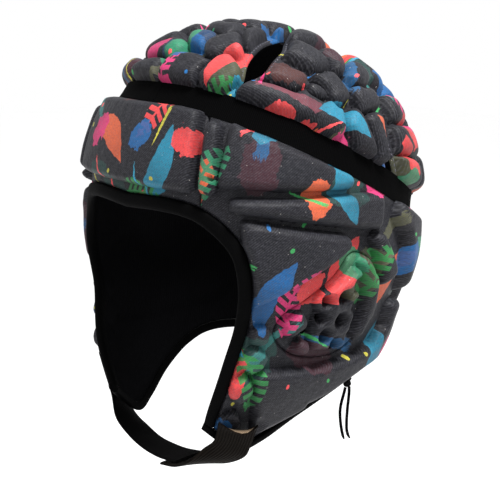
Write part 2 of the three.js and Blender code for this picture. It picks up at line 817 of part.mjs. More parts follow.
// Lower band: one panel over the brow, one on each side with its flap, and one at the back
addPiece('brow_panel', bandFoam.intersect(bandSector(-browSeam, browSeam, gap / 2)), printed);
for (const [side, sign] of [['left', 1], ['right', -1]]) {
  const sector = sign > 0
    ? bandSector(browSeam, backSeam, gap / 2)
    : bandSector(-backSeam, -browSeam, gap / 2);
  const wide = resized(earBorder, -gap / 2);
  const tight = resized(earBorder, gap / 2);
  const earCut = bandKnife(sign > 0 ? wide : flipped(wide));
  const earKeep = bandKnife(sign > 0 ? tight : flipped(tight));
  addPiece(`side_panel_${side}`, bandFoam.intersect(sector).subtract(earCut), printed);
  const holes = earHoles.map(bandPlace).map(([x, height]) => {
    const angle = sign * x / alongAngle;
    const drill = new THREE.CylinderGeometry(earHole / 2, earHole / 2, 6 * foamDepth, 6);
    drill.rotateX(Math.PI / 2);
    drill.rotateZ(angle * degree);
    const centre = bandPoint(angle, height, innerFace);
    drill.translate(centre.x, centre.y, centre.z);
    return solidOfGeometry(drill);
  });
  const pad = holes.reduce((left, hole) => left.subtract(hole), earFoam.intersect(earKeep));
  addPiece(`ear_pad_${side}`, pad, printed);
}
const backSector = bandSector(backSeam, 360 - backSeam, gap / 2);
addPiece('back_panel', bandFoam.intersect(backSector), printed);

// Crown: a middle panel from brow to nape and one on each side, with open vents between them
const crownInner = crownCore(() => innerFace, plainStep, 1);
const crownFoam = crownCore(meanOver(crownRelief, crownStep), crownStep, 0)
  .subtract(crownInner)
  .intersect(overHemBlock(crownHem));
const rim = (from, to) => Array.from({ length: rimParts - 1 }, (_, index) => {
  const heading = from + (to - from) * (index + 1) / rimParts;
  return [crownMapReach * Math.sin(heading), crownMapReach * Math.cos(heading)];
});
const endHeadings = (line) => [line[0], line[line.length - 1]].map(([x, y]) => Math.atan2(x, y));
const middleEdge = movedLine(middleBorder, gap / 2);
const [middleFront, middleBack] = endHeadings(middleEdge);
const middleOutline = [
  ...middleEdge,
  ...rim(middleBack, -middleBack),
  ...flipped(middleEdge).reverse(),
  ...rim(2 * Math.PI - middleFront, middleFront),
];
addPiece('crown_middle', crownFoam.intersect(crownKnife(middleOutline)), printed);
const sideEdge = movedLine(sideBorder, -gap / 2);
const [sideFront, sideBack] = endHeadings(sideEdge);
const sideOutline = [...sideEdge, ...rim(sideBack, sideFront)];
for (const [side, outline] of [['left', sideOutline], ['right', flipped(sideOutline)]]) {
  addPiece(`crown_${side}`, crownFoam.intersect(crownKnife(outline)), printed);
}

// Elastic gusset between the two hems
const gusset = crownCore(() => innerFace + gussetDepth, plainStep, 0)
  .subtract(crownInner)
  .intersect(overHemBlock(bandHem))
  .subtract(overHemBlock(crownHem - gap));
addPiece('gusset_band', gusset, elastic);

// Linings behind the foam. The crown's is open at the vents.
const ventKnife = ([front, back]) => {
  const within = ([, y]) => y > front && y < back;
  const outline = [...middleBorder.filter(within), ...sideBorder.filter(within).reverse()];
  return crownKnife(outline).add(crownKnife(flipped(outline)));
};
const liningCore = crownCore(() => liningInner, plainStep, 1);
const crownLining = crownCore(() => liningOuter, plainStep, 0)
  .subtract(liningCore)
  .intersect(overHemBlock(bandHem))
  .subtract(ventKnife(frontVent))
  .subtract(ventKnife(rearVent));
addPiece('crown_lining', crownLining, lined);
const bandLiningWall = bandCore(() => liningOuter, plainStep, 0)
  .subtract(bandCore(() => liningInner, plainStep, 1));
addPiece('band_lining', trimmedBand(bandLiningWall, gap), lined);

// Bound edges round the face and along the neck
const bindingWall = bandCore(() => liningInner + bindingDepth, plainStep, 0)
  .subtract(bandCore(() => liningInner, plainStep, 1));
const faceOpening = faceKnife(-faceBindingWidth);
const faceBinding = bindingWall
  .intersect(faceKnife(0))
  .subtract(faceOpening)
  .subtract(belowNeck(neckBindingWidth + gap));
addPiece('face_binding', faceBinding, bound);
const neckBinding = bindingWall
  .intersect(belowNeck(neckBindingWidth))
  .subtract(belowNeck(0))
  .subtract(faceOpening);
addPiece('neck_binding', neckBinding, bound);

// A flat ribbon between two edges that have as many points, thickened away from the head
function ribbon(edges, depth, stations) {
  const front = new THREE.CatmullRomCurve3(edges.map(({ front: place }) => place));
  const rear = new THREE.CatmullRomCurve3(edges.map(({ rear: place }) => place));
  const points = [];
  const triangles = [];
  for (let station = 0; station <= stations; station += 1) {
    const share = station / stations;
    const near = front.getPoint(share);
    const far = rear.getPoint(share);
    const run = front.getTangent(share).add(rear.getTangent(share));
    const outward = new THREE.Vector3().crossVectors(run, near.clone().sub(far)).setLength(depth);
    points.push(near, far, far.clone().add(outward), near.clone().add(outward));
  }
  for (let station = 0; station < stations; station += 1) {
    for (let corner = 0; corner < 4; corner += 1) {
      const here = 4 * station + corner;
      const beside = 4 * station + (corner + 1) % 4;
      triangles.push([here, beside + 4, beside], [here, here + 4, beside + 4]);
    }
  }
  const last = 4 * stations;
  triangles.push([0, 1, 2], [0, 2, 3], [last, last + 2, last + 1], [last, last + 3, last + 2]);
  return solidOf(points, triangles);
}

const flapEdges = (rows) => rows.map((row) => ({
  front: bandPoint(row.frontAngle, row.frontLevel * flapDrop, -strapSink),
  rear: bandPoint(row.rearAngle, row.rearLevel * flapDrop, -strapSink),
}));
const hangingEdges = (rows) => rows.map((row) => ({
  front: new THREE.Vector3(row.frontX * halfWidth, row.frontY * frontReach, row.frontZ * flapDrop),
  rear: new THREE.Vector3(row.rearX * halfWidth, row.rearY * frontReach, row.rearZ * flapDrop),
}));
const strapEdges = [...flapEdges(strapOnFlap), ...hangingEdges(strapHanging)];
addPiece('chin_strap', ribbon(strapEdges, strapDepth, 32), webbing);
const tabEdges = [...hangingEdges(tabHanging), ...flapEdges(tabOnFlap)];
addPiece('strap_tab', ribbon(tabEdges, strapDepth, 24), webbing);

// Lace: a knot just under the neck edge behind the left ear, and two tails that hang from it
const heightOnLine = (line, x) => {
  const index = line.findIndex((place) => place[0] > x);
  const [startX, startY] = line[index - 1];
  const [endX, endY] = line[index];
  return startY + (endY - startY) * (x - startX) / (endX - startX);
};
const knotSpan = laceKnotWidth / 8;
const laceHeight = Math.min(
  heightOnLine(neckEdge, laceAngle * alongAngle - knotSpan),
  heightOnLine(neckEdge, laceAngle * alongAngle + knotSpan),
) - gap - laceKnotHeight / 2;
const knotCentre = bandPoint(laceAngle, laceHeight, liningInner + bindingDepth / 2);
const knotShape = new THREE.SphereGeometry(0.5, 10, 8);
knotShape.rotateX(Math.PI / 2);
knotShape.scale(laceKnotWidth, laceKnotWidth * 0.8, laceKnotHeight);
knotShape.rotateZ(laceAngle * degree);
knotShape.translate(knotCentre.x, knotCentre.y, knotCentre.z);
addPiece('lace_knot', solidOfGeometry(knotShape), elastic);
const laceOut = new THREE.Vector3(Math.sin(laceAngle * degree), -Math.cos(laceAngle * degree), 0);
const laceAlong = new THREE.Vector3(-laceOut.y, laceOut.x, 0);
for (const [tail, rows] of Object.entries(laceTails)) {
  const top = knotCentre.clone();
  top.z -= laceKnotHeight / 2 + gap;
  const route = new THREE.CatmullRomCurve3(rows.map((row) => top.clone()
    .addScaledVector(laceOut, row.outward)
    .addScaledVector(laceAlong, row.along)
    .add(new THREE.Vector3(0, 0, -row.drop * laceTail))));
  const section = new THREE.Shape();
  section.absarc(0, 0, laceDiameter / 2, 0, 2 * Math.PI, false);
  const cord = new THREE.ExtrudeGeometry(section, {
    steps: 10,
    curveSegments: 4,
    bevelEnabled: false,
    extrudePath: route,
  });
  addPiece(`lace_tail_${tail}`, solidOfGeometry(cord), elastic);
}

// The pieces, set so that the origin is the lining's highest inside point
const cap = new THREE.Group();
cap.position.z = -headTop;
for (const { name, solid, material } of pieces) {
  const { vertProperties, triVerts } = solid.getMesh();
  const geometry = new THREE.BufferGeometry();
  geometry.setAttribute('position', new THREE.BufferAttribute(vertProperties, 3));
  geometry.setIndex(new THREE.BufferAttribute(triVerts, 1));
  geometry.computeVertexNormals();
  const mesh = new THREE.Mesh(geometry, material);
  mesh.name = name;
  cap.add(mesh);
}

export default cap;
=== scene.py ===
import math

import bmesh
import bpy
import numpy as np
from mathutils import Matrix, Vector
from mathutils.geometry import delaunay_2d_cdt


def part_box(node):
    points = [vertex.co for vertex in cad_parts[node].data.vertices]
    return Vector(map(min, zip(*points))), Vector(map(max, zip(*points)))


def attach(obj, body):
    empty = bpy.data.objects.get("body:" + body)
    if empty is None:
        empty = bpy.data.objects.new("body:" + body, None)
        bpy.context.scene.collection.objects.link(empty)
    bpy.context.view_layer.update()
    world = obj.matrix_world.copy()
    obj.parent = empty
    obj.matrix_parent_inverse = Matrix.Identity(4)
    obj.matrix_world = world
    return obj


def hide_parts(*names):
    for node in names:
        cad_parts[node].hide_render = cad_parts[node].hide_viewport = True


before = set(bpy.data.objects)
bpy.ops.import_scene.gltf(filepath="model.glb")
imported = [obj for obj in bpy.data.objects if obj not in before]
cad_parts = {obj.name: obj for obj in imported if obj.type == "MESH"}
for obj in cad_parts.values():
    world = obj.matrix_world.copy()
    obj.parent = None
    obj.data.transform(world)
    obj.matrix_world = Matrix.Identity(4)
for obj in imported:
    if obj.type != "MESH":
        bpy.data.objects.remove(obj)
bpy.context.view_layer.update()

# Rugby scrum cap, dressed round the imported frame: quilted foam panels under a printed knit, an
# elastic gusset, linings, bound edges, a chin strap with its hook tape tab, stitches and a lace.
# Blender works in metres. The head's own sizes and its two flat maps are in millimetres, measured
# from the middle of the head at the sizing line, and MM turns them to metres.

MM = 0.001

# Head form and walls, as the frame has them
HALF_WIDTH = 93.0
FRONT_REACH = 84.0
BACK_REACH = 112.0
DOME_RISE = 104.0
FLAP_DROP = 133.0
PLAN_POWER = 2.4
DOME_POWER = 2.1
FOAM_DEPTH = 10.0
SEAM_DEPTH = 3.0
LINING_DEPTH = 1.0
GAP = 0.3
HEM_TILT = math.radians(23.7)
CROWN_HEM = 43.5
BAND_HEM = 31.0
FACE_BINDING_WIDTH = 8.0
NECK_BINDING_WIDTH = 5.0
STRAP_DEPTH = 1.6
STRAP_SINK = 2.8
EAR_HOLE = 4.6
PAD_WIDTH = 20.0
INNER_FACE = -FOAM_DEPTH
SEAM_FACE = INNER_FACE + SEAM_DEPTH
LINING_OUTER = INNER_FACE - GAP
LINING_INNER = LINING_OUTER - LINING_DEPTH
HEAD_TOP = DOME_RISE + LINING_INNER
ALONG_ANGLE = HALF_WIDTH * math.pi / 180
HALF_TURN = 180 * ALONG_ANGLE

# Mesh steps in millimetres
CLOTH_STEP = 1.1
PLAIN_STEP = 2.5
EDGE_STEP = 1.0


# Section of the head form below the sizing line, as shares of the sizes above
HEAD_SECTIONS = np.array([
    # drop, width, front, back
    (0.00, 1.00, 1.00, 1.000),
    (0.23, 1.02, 1.05, 0.940),
    (0.45, 0.94, 1.01, 0.855),
    (0.68, 0.865, 0.98, 0.750),
    (0.90, 0.71, 0.88, 0.655),
    (1.13, 0.55, 0.77, 0.580),
])

# Edge of the print round the face, lower edge of the cap and border of the ear pad, all on the
# left: angle from the brow in degrees, level as a share of FLAP_DROP
FACE_LINE = [
    (0, 0.060), (17, 0.070), (29, 0.064), (38, 0.040), (48, -0.030), (54, -0.105), (57, -0.200),
    (58, -0.315), (57, -0.450), (54, -0.580), (51, -0.700), (47, -0.840), (45.5, -0.900),
]
NECK_LINE = [
    (40, -0.885), (48, -0.940), (59, -1.000), (73, -0.955), (91, -0.845), (106, -0.760),
    (117, -0.715), (135, -0.695), (155, -0.700), (180, -0.720),
]
EAR_LINE = [
    (98, -0.135), (89, -0.235), (79, -0.315), (70, -0.385), (68, -0.455), (75, -0.535),
    (89, -0.575), (101, -0.565), (110, -0.500), (113, -0.395), (111, -0.270), (105, -0.160),
]
EAR_HOLES = [
    (93, -0.308), (86, -0.318), (99, -0.262), (100, -0.350), (103, -0.425), (85, -0.388),
    (81, -0.448), (88, -0.470), (94, -0.408), (101, -0.490), (94, -0.515),
]
BROW_SEAM = 37.0
BACK_SEAM = 145.0

# Pads: tapered and rounded, along a spine from one place to another. Rows with one name make one
# bent pad. Widths are shares of PAD_WIDTH. On the band a place is an angle and a level.
BAND_PADS = [
    # pad, from angle, level, width, to angle, level, width
    ("brow", -34.5, 0.280, 2.25, 34.5, 0.280, 2.25),
    ("temple", 40.8, 0.400, 0.52, 40.0, 0.110, 0.52),
    ("wedge", 45.6, 0.275, 1.78, 96, 0.160, 0.36),
    ("roll", 48.5, 0.072, 0.32, 110, 0.030, 1.05),
    ("cheek", 55, -0.165, 2.40, 95, -0.085, 0.34),
    ("cheekLow", 61.5, -0.415, 0.55, 62.5, -0.495, 0.50),
    ("jawHigh", 57.5, -0.530, 0.72, 64, -0.590, 0.66),
    ("jawMid", 54, -0.650, 0.78, 59.5, -0.725, 0.74),
    ("jawTip", 52, -0.800, 0.60, 55, -0.880, 0.60),
    ("jaw", 62.5, -0.760, 2.05, 84, -0.715, 1.30),
    ("jaw", 82, -0.715, 1.25, 106, -0.655, 0.84),
    ("jaw", 104, -0.660, 0.84, 124, -0.610, 0.80),
    ("jaw", 122, -0.618, 0.80, 134, -0.520, 0.76),
    ("jaw", 133, -0.545, 0.76, 131, -0.390, 0.60),
    ("almond", 108, -0.060, 0.45, 116, -0.270, 0.72),
    ("rear", 121, 0.030, 0.60, 132, -0.060, 1.05),
    ("rear", 131, -0.040, 1.05, 137, -0.330, 1.00),
    ("backOuter", 152, -0.150, 0.85, 153, -0.620, 1.00),
    ("backInner", 168, -0.180, 0.85, 168, -0.640, 0.85),
]
EAR_PADS = [
    ("crescent", 101, -0.155, 0.40, 107, -0.290, 0.50),
    ("crescent", 106.5, -0.270, 0.50, 109, -0.400, 0.50),
    ("crescent", 109, -0.380, 0.50, 106, -0.510, 0.42),
    ("net", 100, -0.200, 0.30, 88, -0.345, 1.10),
    ("net", 92, -0.330, 1.45, 91, -0.540, 1.45),
    ("lobe", 71, -0.440, 0.62, 79, -0.385, 0.60),
    ("lobeLow", 76, -0.500, 0.48, 83, -0.530, 0.40),
]

# On the crown a place is x towards the left ear and y towards the back, in hundredths of a radian
# from the crown's own axis, which leans back by HEM_TILT
FRONT_PADS = [
    # pad, from x, y, width, to x, y, width
    ("a", -62, -88, 1.0, -50, -101, 1.1),
    ("b", -32, -88, 0.72, -3, -87, 0.70),
    ("c", 0, -104, 1.0, 33, -101, 1.15),
    ("d", -38, -106, 1.0, -8, -107, 0.95),
    ("e", -6, -74, 0.66, 12, -75, 0.70),
    ("f", 47, -101, 0.95, 48, -80, 1.15),
    ("g", 22, -84, 0.72, 32, -67, 1.00),
    ("h", -6, -61, 0.66, 17, -59, 0.74),
    ("i", 24, -49, 0.70, 40, -57, 0.80),
    ("j", -25, -71, 0.70, -45, -76, 0.90),
    ("k", -24, -52, 0.76, -40, -60, 0.80),
    ("l", 1, -46, 0.84, 14, -38, 0.66),
    ("m", -8, -46, 0.66, -14, -36, 0.66),
]
CROWN_PADS = [
    ("long", 71, -88, 0.72, 97, -26, 0.86),
    ("long", 97, -30, 0.86, 101, -16, 0.60),
    ("wedge", 64, -67, 0.50, 79, -46, 1.00),
    ("high", 45, -39, 0.86, 61, -21, 0.80),
    ("peak", 27, -31, 0.80, 23, -7, 0.90),
    ("small", 44, -14, 0.60, 60, -8, 0.54),
    ("waist", 66, -27, 0.62, 84, -15, 0.66),
    ("nib", 80, -40, 0.44, 86, -30, 0.44),
    ("g", 64, 0, 0.66, 49, 11, 0.62),
    ("h", 80, -2, 0.68, 70, 14, 0.62),
    ("i", 92, -9, 0.66, 112, 12, 0.60),
    ("j", 86, 10, 0.66, 106, 28, 0.60),
    ("ridge", 0, -28, 0.94, 0, -10, 0.96),
    ("ridgeMid", 0, 0, 1.10, 0, 16, 1.20),
    ("k", 68, 31, 0.72, 58, 46, 0.84),
    ("backHigh", 20, 26, 0.80, 44, 30, 0.80),
    ("backRidge", 0, 30, 1.0, 0, 46, 1.0),
    ("backMid", 20, 46, 0.82, 42, 48, 0.84),
    ("l", 85, 39, 0.66, 66, 62, 0.84),
    ("backLow", 16, 64, 0.90, 46, 66, 0.90),
    ("m", 102, 48, 0.66, 84, 74, 0.96),
    ("napeHigh", 12, 84, 0.86, 40, 84, 0.90),
    ("napeSide", 58, 78, 0.80, 68, 90, 0.90),
    ("nape", 14, 104, 0.95, 46, 101, 0.95),
]
MIDDLE_LINE = [
    (77, -108), (68, -93), (60, -80), (48, -70), (37, -55), (26, -36), (17, -20), (14, -3),
    (24, 13), (42, 20), (60, 22), (80, 22), (92, 33), (98, 43), (114, 64),
]
SIDE_LINE = [
    (77, -108), (68, -93), (62, -78), (60, -65), (51, -53), (41, -41), (29, -32), (17, -20),
    (14, -3), (24, 13), (42, 20), (60, 22), (80, 21), (94, 24), (104, 35), (122, 54),
]
FRONT_VENT = (-82, -30)
REAR_VENT = (23, 66)

# The strap's and the tab's two edges. On a flap a place is an angle and a level; below it, x, y
# and z are shares of HALF_WIDTH, FRONT_REACH and FLAP_DROP.
STRAP_ON_FLAP = [
    # front angle, level, rear angle, level
    (-53, -0.740, -67, -0.790),
    (-51, -0.825, -64.5, -0.890),
    (-49, -0.910, -61.5, -0.995),
]
STRAP_HANGING = [
    # front x, y, z, rear x, y, z
    (-0.390, -0.640, -0.980, -0.300, -0.420, -1.030),
    (-0.240, -0.660, -1.022, -0.150, -0.430, -1.050),
    (-0.070, -0.675, -1.048, 0.000, -0.440, -1.050),
    (0.110, -0.680, -1.057, 0.140, -0.450, -1.042),
    (0.280, -0.670, -1.050, 0.290, -0.445, -1.026),
]
TAB_HANGING = [
    (0.150, -0.690, -1.080, 0.150, -0.450, -1.062),
    (0.290, -0.690, -1.062, 0.310, -0.440, -1.050),
    (0.430, -0.690, -1.012, 0.470, -0.410, -1.040),
]
TAB_ON_FLAP = [
    (42.0, -0.955, 62, -1.000),
    (46, -0.920, 64, -0.940),
    (48, -0.830, 65.5, -0.850),
]

# Camera, fitted to the photograph: direction to it, distance, roll, lens and framing
CAMERA_AZIMUTH = math.radians(51.0)
CAMERA_ELEVATION = math.radians(8.0)
CAMERA_ROLL = math.radians(2.5)
CAMERA_DISTANCE = 0.85
CAMERA_LENS = 105.9
CAMERA_SHIFT = (0.028, -0.101)


def make_camera():
    """The photograph's view of the cap."""
    a, e, r = CAMERA_AZIMUTH, CAMERA_ELEVATION, CAMERA_ROLL
    back = Vector((math.sin(a) * math.cos(e), -math.cos(a) * math.cos(e), math.sin(e)))
    level = Vector((math.cos(a), math.sin(a), 0))
    above = back.cross(level)
    right = level * math.cos(r) + above * math.sin(r)
    up = above * math.cos(r) - level * math.sin(r)
    data = bpy.data.cameras.new("photo_view")
    data.lens = CAMERA_LENS
    data.sensor_width = 36
    data.shift_x, data.shift_y = CAMERA_SHIFT
    data.clip_start, data.clip_end = 0.05, 20
    camera = bpy.data.objects.new("photo_view", data)
    turned = Matrix((right, up, back)).transposed().to_4x4()
    turned.translation = Vector((0, 0, -HEAD_TOP * MM)) + back * CAMERA_DISTANCE
    camera.matrix_world = turned
    bpy.context.scene.collection.objects.link(camera)
    bpy.context.scene.camera = camera


# Materials


def linear(colour):
    """Linear RGBA of an sRGB hex colour."""
    parts = [int(colour[index:index + 2], 16) / 255 for index in (1, 3, 5)]
    return [p / 12.92 if p <= 0.04045 else ((p + 0.055) / 1.055) ** 2.4 for p in parts] + [1.0]


def add(tree, kind, settings=None, **links):
    """Adds a node to a tree. Links and plain values are given by the input's name or place."""
    node = tree.nodes.new(f"ShaderNode{kind}")
    for key, value in (settings or {}).items():
        setattr(node, key, value)
    for key, value in links.items():
        numbered = key.startswith("in") and key[2:].isdigit()
        target = node.inputs[int(key[2:]) if numbered else key.replace("_", " ")]
        if isinstance(value, bpy.types.NodeSocket):
            tree.links.new(value, target)
        elif isinstance(value, bpy.types.Node):
            tree.links.new(value.outputs[0], target)
        else:
            target.default_value = value
    return node


# Settings of the math nodes
TIMES = {"operation": "MULTIPLY"}
PLUS = {"operation": "ADD"}
MINUS = {"operation": "SUBTRACT"}
OVER = {"operation": "DIVIDE"}
TIMES_PLUS = {"operation": "MULTIPLY_ADD"}
LEAST = {"operation": "MINIMUM"}
MOST = {"operation": "MAXIMUM"}
SIZE = {"operation": "ABSOLUTE"}
UNDER = {"operation": "LESS_THAN"}
SINE = {"operation": "SINE"}
HELD_TIMES = {"operation": "MULTIPLY", "use_clamp": True}
HELD_MINUS = {"operation": "SUBTRACT", "use_clamp": True}


def new_material(name, colour, roughness, specular=0.3, sheen=0.0, sheen_tint=None):
    """A material with its shader. Colour is sRGB hex."""
    made = bpy.data.materials.new(name)
    made.use_nodes = True
    made.diffuse_color = linear(colour)
    tree = made.node_tree
    shader = tree.nodes["Principled BSDF"]
    shader.inputs["Base Color"].default_value = linear(colour)
    shader.inputs["Roughness"].default_value = roughness
    shader.inputs["Specular IOR Level"].default_value = specular
    shader.inputs["Sheen Weight"].default_value = sheen
    shader.inputs["Sheen Roughness"].default_value = 0.5
    if sheen_tint:
        shader.inputs["Sheen Tint"].default_value = linear(sheen_tint)
    return made, tree, shader


def cloth_place(tree, turn=0.0, stretch=(1.0, 1.0), shift=(0.0, 0.0)):
    """Place on the cloth in millimetres, turned and stretched for a pattern."""
    flat = add(tree, "UVMap", {"uv_map": "cloth"})
    turned = add(tree, "Mapping", Vector=flat.outputs[0], Location=(*shift, 0),
                 Rotation=(0, 0, turn), Scale=(*stretch, 1))
    return turned.outputs[0]


def wave_scale(pitch):
    """Scale of a wave texture whose bands lie a pitch apart, in millimetres."""
    return 2 * math.pi / (pitch * 20)


# Generic motifs of the printed knit, from the lowest layer to the highest. Cell is the spacing of
# the motifs, long and wide are a motif's half sizes and ragged is how far its outline strays, all
# in millimetres. Share is how many cells have one.
MOTIFS = [
    # form, cell, long, wide, share, ragged, seed, palette
    ("splat", 52, 18, 11, 0.75, 10.0, 1,
     ["#2f151c", "#16332f", "#132e4c", "#3a3b28", "#3a1d19"]),
    ("stroke", 62, 27, 4.2, 0.70, 3.0, 2,
     ["#174468", "#24605c", "#4a4a36", "#5c2c35"]),
    ("leaf", 46, 23, 7.6, 0.74, 2.4, 3,
     ["#b83838", "#114a7a", "#216c4c", "#1b6a82", "#b25030"]),
    ("fern", 54, 21, 8.5, 0.52, 0.6, 4,
     ["#246f37", "#b02a5e", "#b83838", "#216c4c"]),
    ("splat", 47, 10.5, 7.5, 0.50, 7.0, 5,
     ["#b83838", "#114a7a", "#1b6a82", "#b02a5e", "#b25030", "#216c4c"]),
    ("stroke", 39, 12.5, 1.3, 0.45, 1.6, 6,
     ["#23819c", "#a39c34", "#d8484a", "#2f8a48", "#cf3672"]),
    ("splat", 11, 1.5, 1.1, 0.14, 0.8, 7,
     ["#175d96", "#2f8a48", "#d8484a", "#a39c34"]),
]
# Blades of a fern: radians of their wave along half the fern and across half its width
BLADE_PACE = 26.0
BLADE_SLANT = 3.2
# How far one step of the seed moves a layer over the cloth, in millimetres
SEED_SHIFT = (37.0, -53.0)


def motif_layer(tree, spec, shift):
    """Mask and colour of one layer of the print's motifs."""
    form, cell, long, wide, share, ragged, seed, palette = spec
    flat = cloth_place(tree, shift=[step * (seed + shift) for step in SEED_SHIFT])
    small = add(tree, "VectorMath", {"operation": "SCALE"}, in0=flat, Scale=1 / cell)
    cells = add(tree, "TexVoronoi", {"voronoi_dimensions": "2D"},
                Vector=small.outputs[0], Scale=1.0, Randomness=0.62)
    chance = add(tree, "SeparateColor", in0=cells.outputs["Color"])
    away = add(tree, "VectorMath", {"operation": "SUBTRACT"},
               in0=small.outputs[0], in1=cells.outputs["Position"])
    local = add(tree, "VectorMath", {"operation": "SCALE"}, in0=away.outputs[0], Scale=cell)
    turn = add(tree, "Math", TIMES, in0=chance.outputs[0], in1=2 * math.pi)
    turned = add(tree, "VectorRotate", {"rotation_type": "Z_AXIS"},
                 Vector=local.outputs[0], Angle=turn)
    rough = add(tree, "TexNoise", {"noise_dimensions": "2D"},
                Vector=flat, Scale=1 / max(2.2, 0.75 * wide), Detail=2.0, Roughness=0.6)
    shove = add(tree, "VectorMath", {"operation": "SUBTRACT"},
                in0=rough.outputs["Color"], in1=(0.5, 0.5, 0.5))
    shove = add(tree, "VectorMath", {"operation": "SCALE"},
                in0=shove.outputs[0], Scale=ragged)
    placed = add(tree, "VectorMath", {"operation": "ADD"},
                 in0=turned.outputs[0], in1=shove.outputs[0])
    parts = add(tree, "SeparateXYZ", in0=placed.outputs[0])
    x = add(tree, "Math", OVER, in0=parts.outputs[0], in1=long)
    y = add(tree, "Math", OVER, in0=parts.outputs[1], in1=wide)
    square = add(tree, "Math", TIMES, in0=x, in1=x)
    if form == "splat":
        reach = add(tree, "Math", PLUS, in0=square, in1=add(tree, "Math", TIMES, in0=y, in1=y))
        edge = add(tree, "Math", MINUS, in0=1.0, in1=reach)
    elif form == "stroke":
        hairs = add(tree, "TexNoise", {"noise_dimensions": "1D"}, W=parts.outputs[1],
                    Scale=1.4, Detail=2.0)
        ragged_end = add(tree, "Math", TIMES_PLUS, in0=hairs.outputs[0], in1=0.5, in2=0.62)
        along = add(tree, "Math", MINUS, in0=ragged_end, in1=add(tree, "Math", SIZE, in0=x))
        taper = add(tree, "Math", TIMES_PLUS, in0=x, in1=0.35, in2=0.65)
        aside = add(tree, "Math", MINUS, in0=taper, in1=add(tree, "Math", SIZE, in0=y))
        edge = add(tree, "Math", LEAST, in0=along, in1=aside)
    else:
        curve = add(tree, "Math", TIMES_PLUS, in0=square, in1=0.7, in2=y)
        width = add(tree, "Math", MINUS, in0=1.0, in1=square)
        if form == "fern":
            # Blades lie across the rib, slanting back by BLADE_SLANT
            aside = add(tree, "Math", SIZE, in0=curve)
            pace = add(tree, "Math", TIMES, in0=x, in1=BLADE_PACE)
            phase = add(tree, "Math", TIMES_PLUS, in0=aside, in1=-BLADE_SLANT, in2=pace)
            teeth = add(tree, "Math", SINE, in0=phase)
            blades = add(tree, "Math", PLUS, in0=teeth, in1=0.25)
            rib = add(tree, "Math", MINUS, in0=0.10, in1=add(tree, "Math", SIZE, in0=curve))
            rib = add(tree, "Math", TIMES, in0=rib, in1=20.0)
            blades = add(tree, "Math", MOST, in0=blades, in1=rib)
            outline = add(tree, "Math", MINUS, in0=width, in1=add(tree, "Math", SIZE, in0=curve))
            edge = add(tree, "Math", LEAST, in0=outline, in1=blades)
        else:
            edge = add(tree, "Math", MINUS, in0=width, in1=add(tree, "Math", SIZE, in0=curve))
    mask = add(tree, "Math", HELD_TIMES, in0=edge, in1=30.0)
    present = add(tree, "Math", UNDER, in0=chance.outputs[1], in1=share)
    mask = add(tree, "Math", TIMES, in0=mask, in1=present)
    ramp = add(tree, "ValToRGB", Fac=chance.outputs[2])
    ramp.color_ramp.interpolation = "CONSTANT"
    stops = ramp.color_ramp.elements
    while len(stops) < len(palette):
        stops.new(1.0)
    for index, colour in enumerate(palette):
        stops[index].position = index / len(palette)
        stops[index].color = linear(colour)
    return mask, ramp.outputs[0]


# Slant of the knit's threads, and their spacing. The real ones lie 0.5 mm apart; 1.1 mm is the
# finest that shows.
THREAD_SLANT = math.radians(-38)
THREAD_PITCH = 1.1
# Sizes of what is seen on the knit's face, in millimetres. A noise's scale is one over the size.
# Fleck is the spacing of the light flecks' cells. The real grain is finer; 1 mm is what shows.
MOTTLE = 9
WASH = 30
FLECK = 4.6
GRAIN = 1.0
PUCKER = 5.0
PUCKER_DEPTH = 0.28
FUZZ = 10 / 7


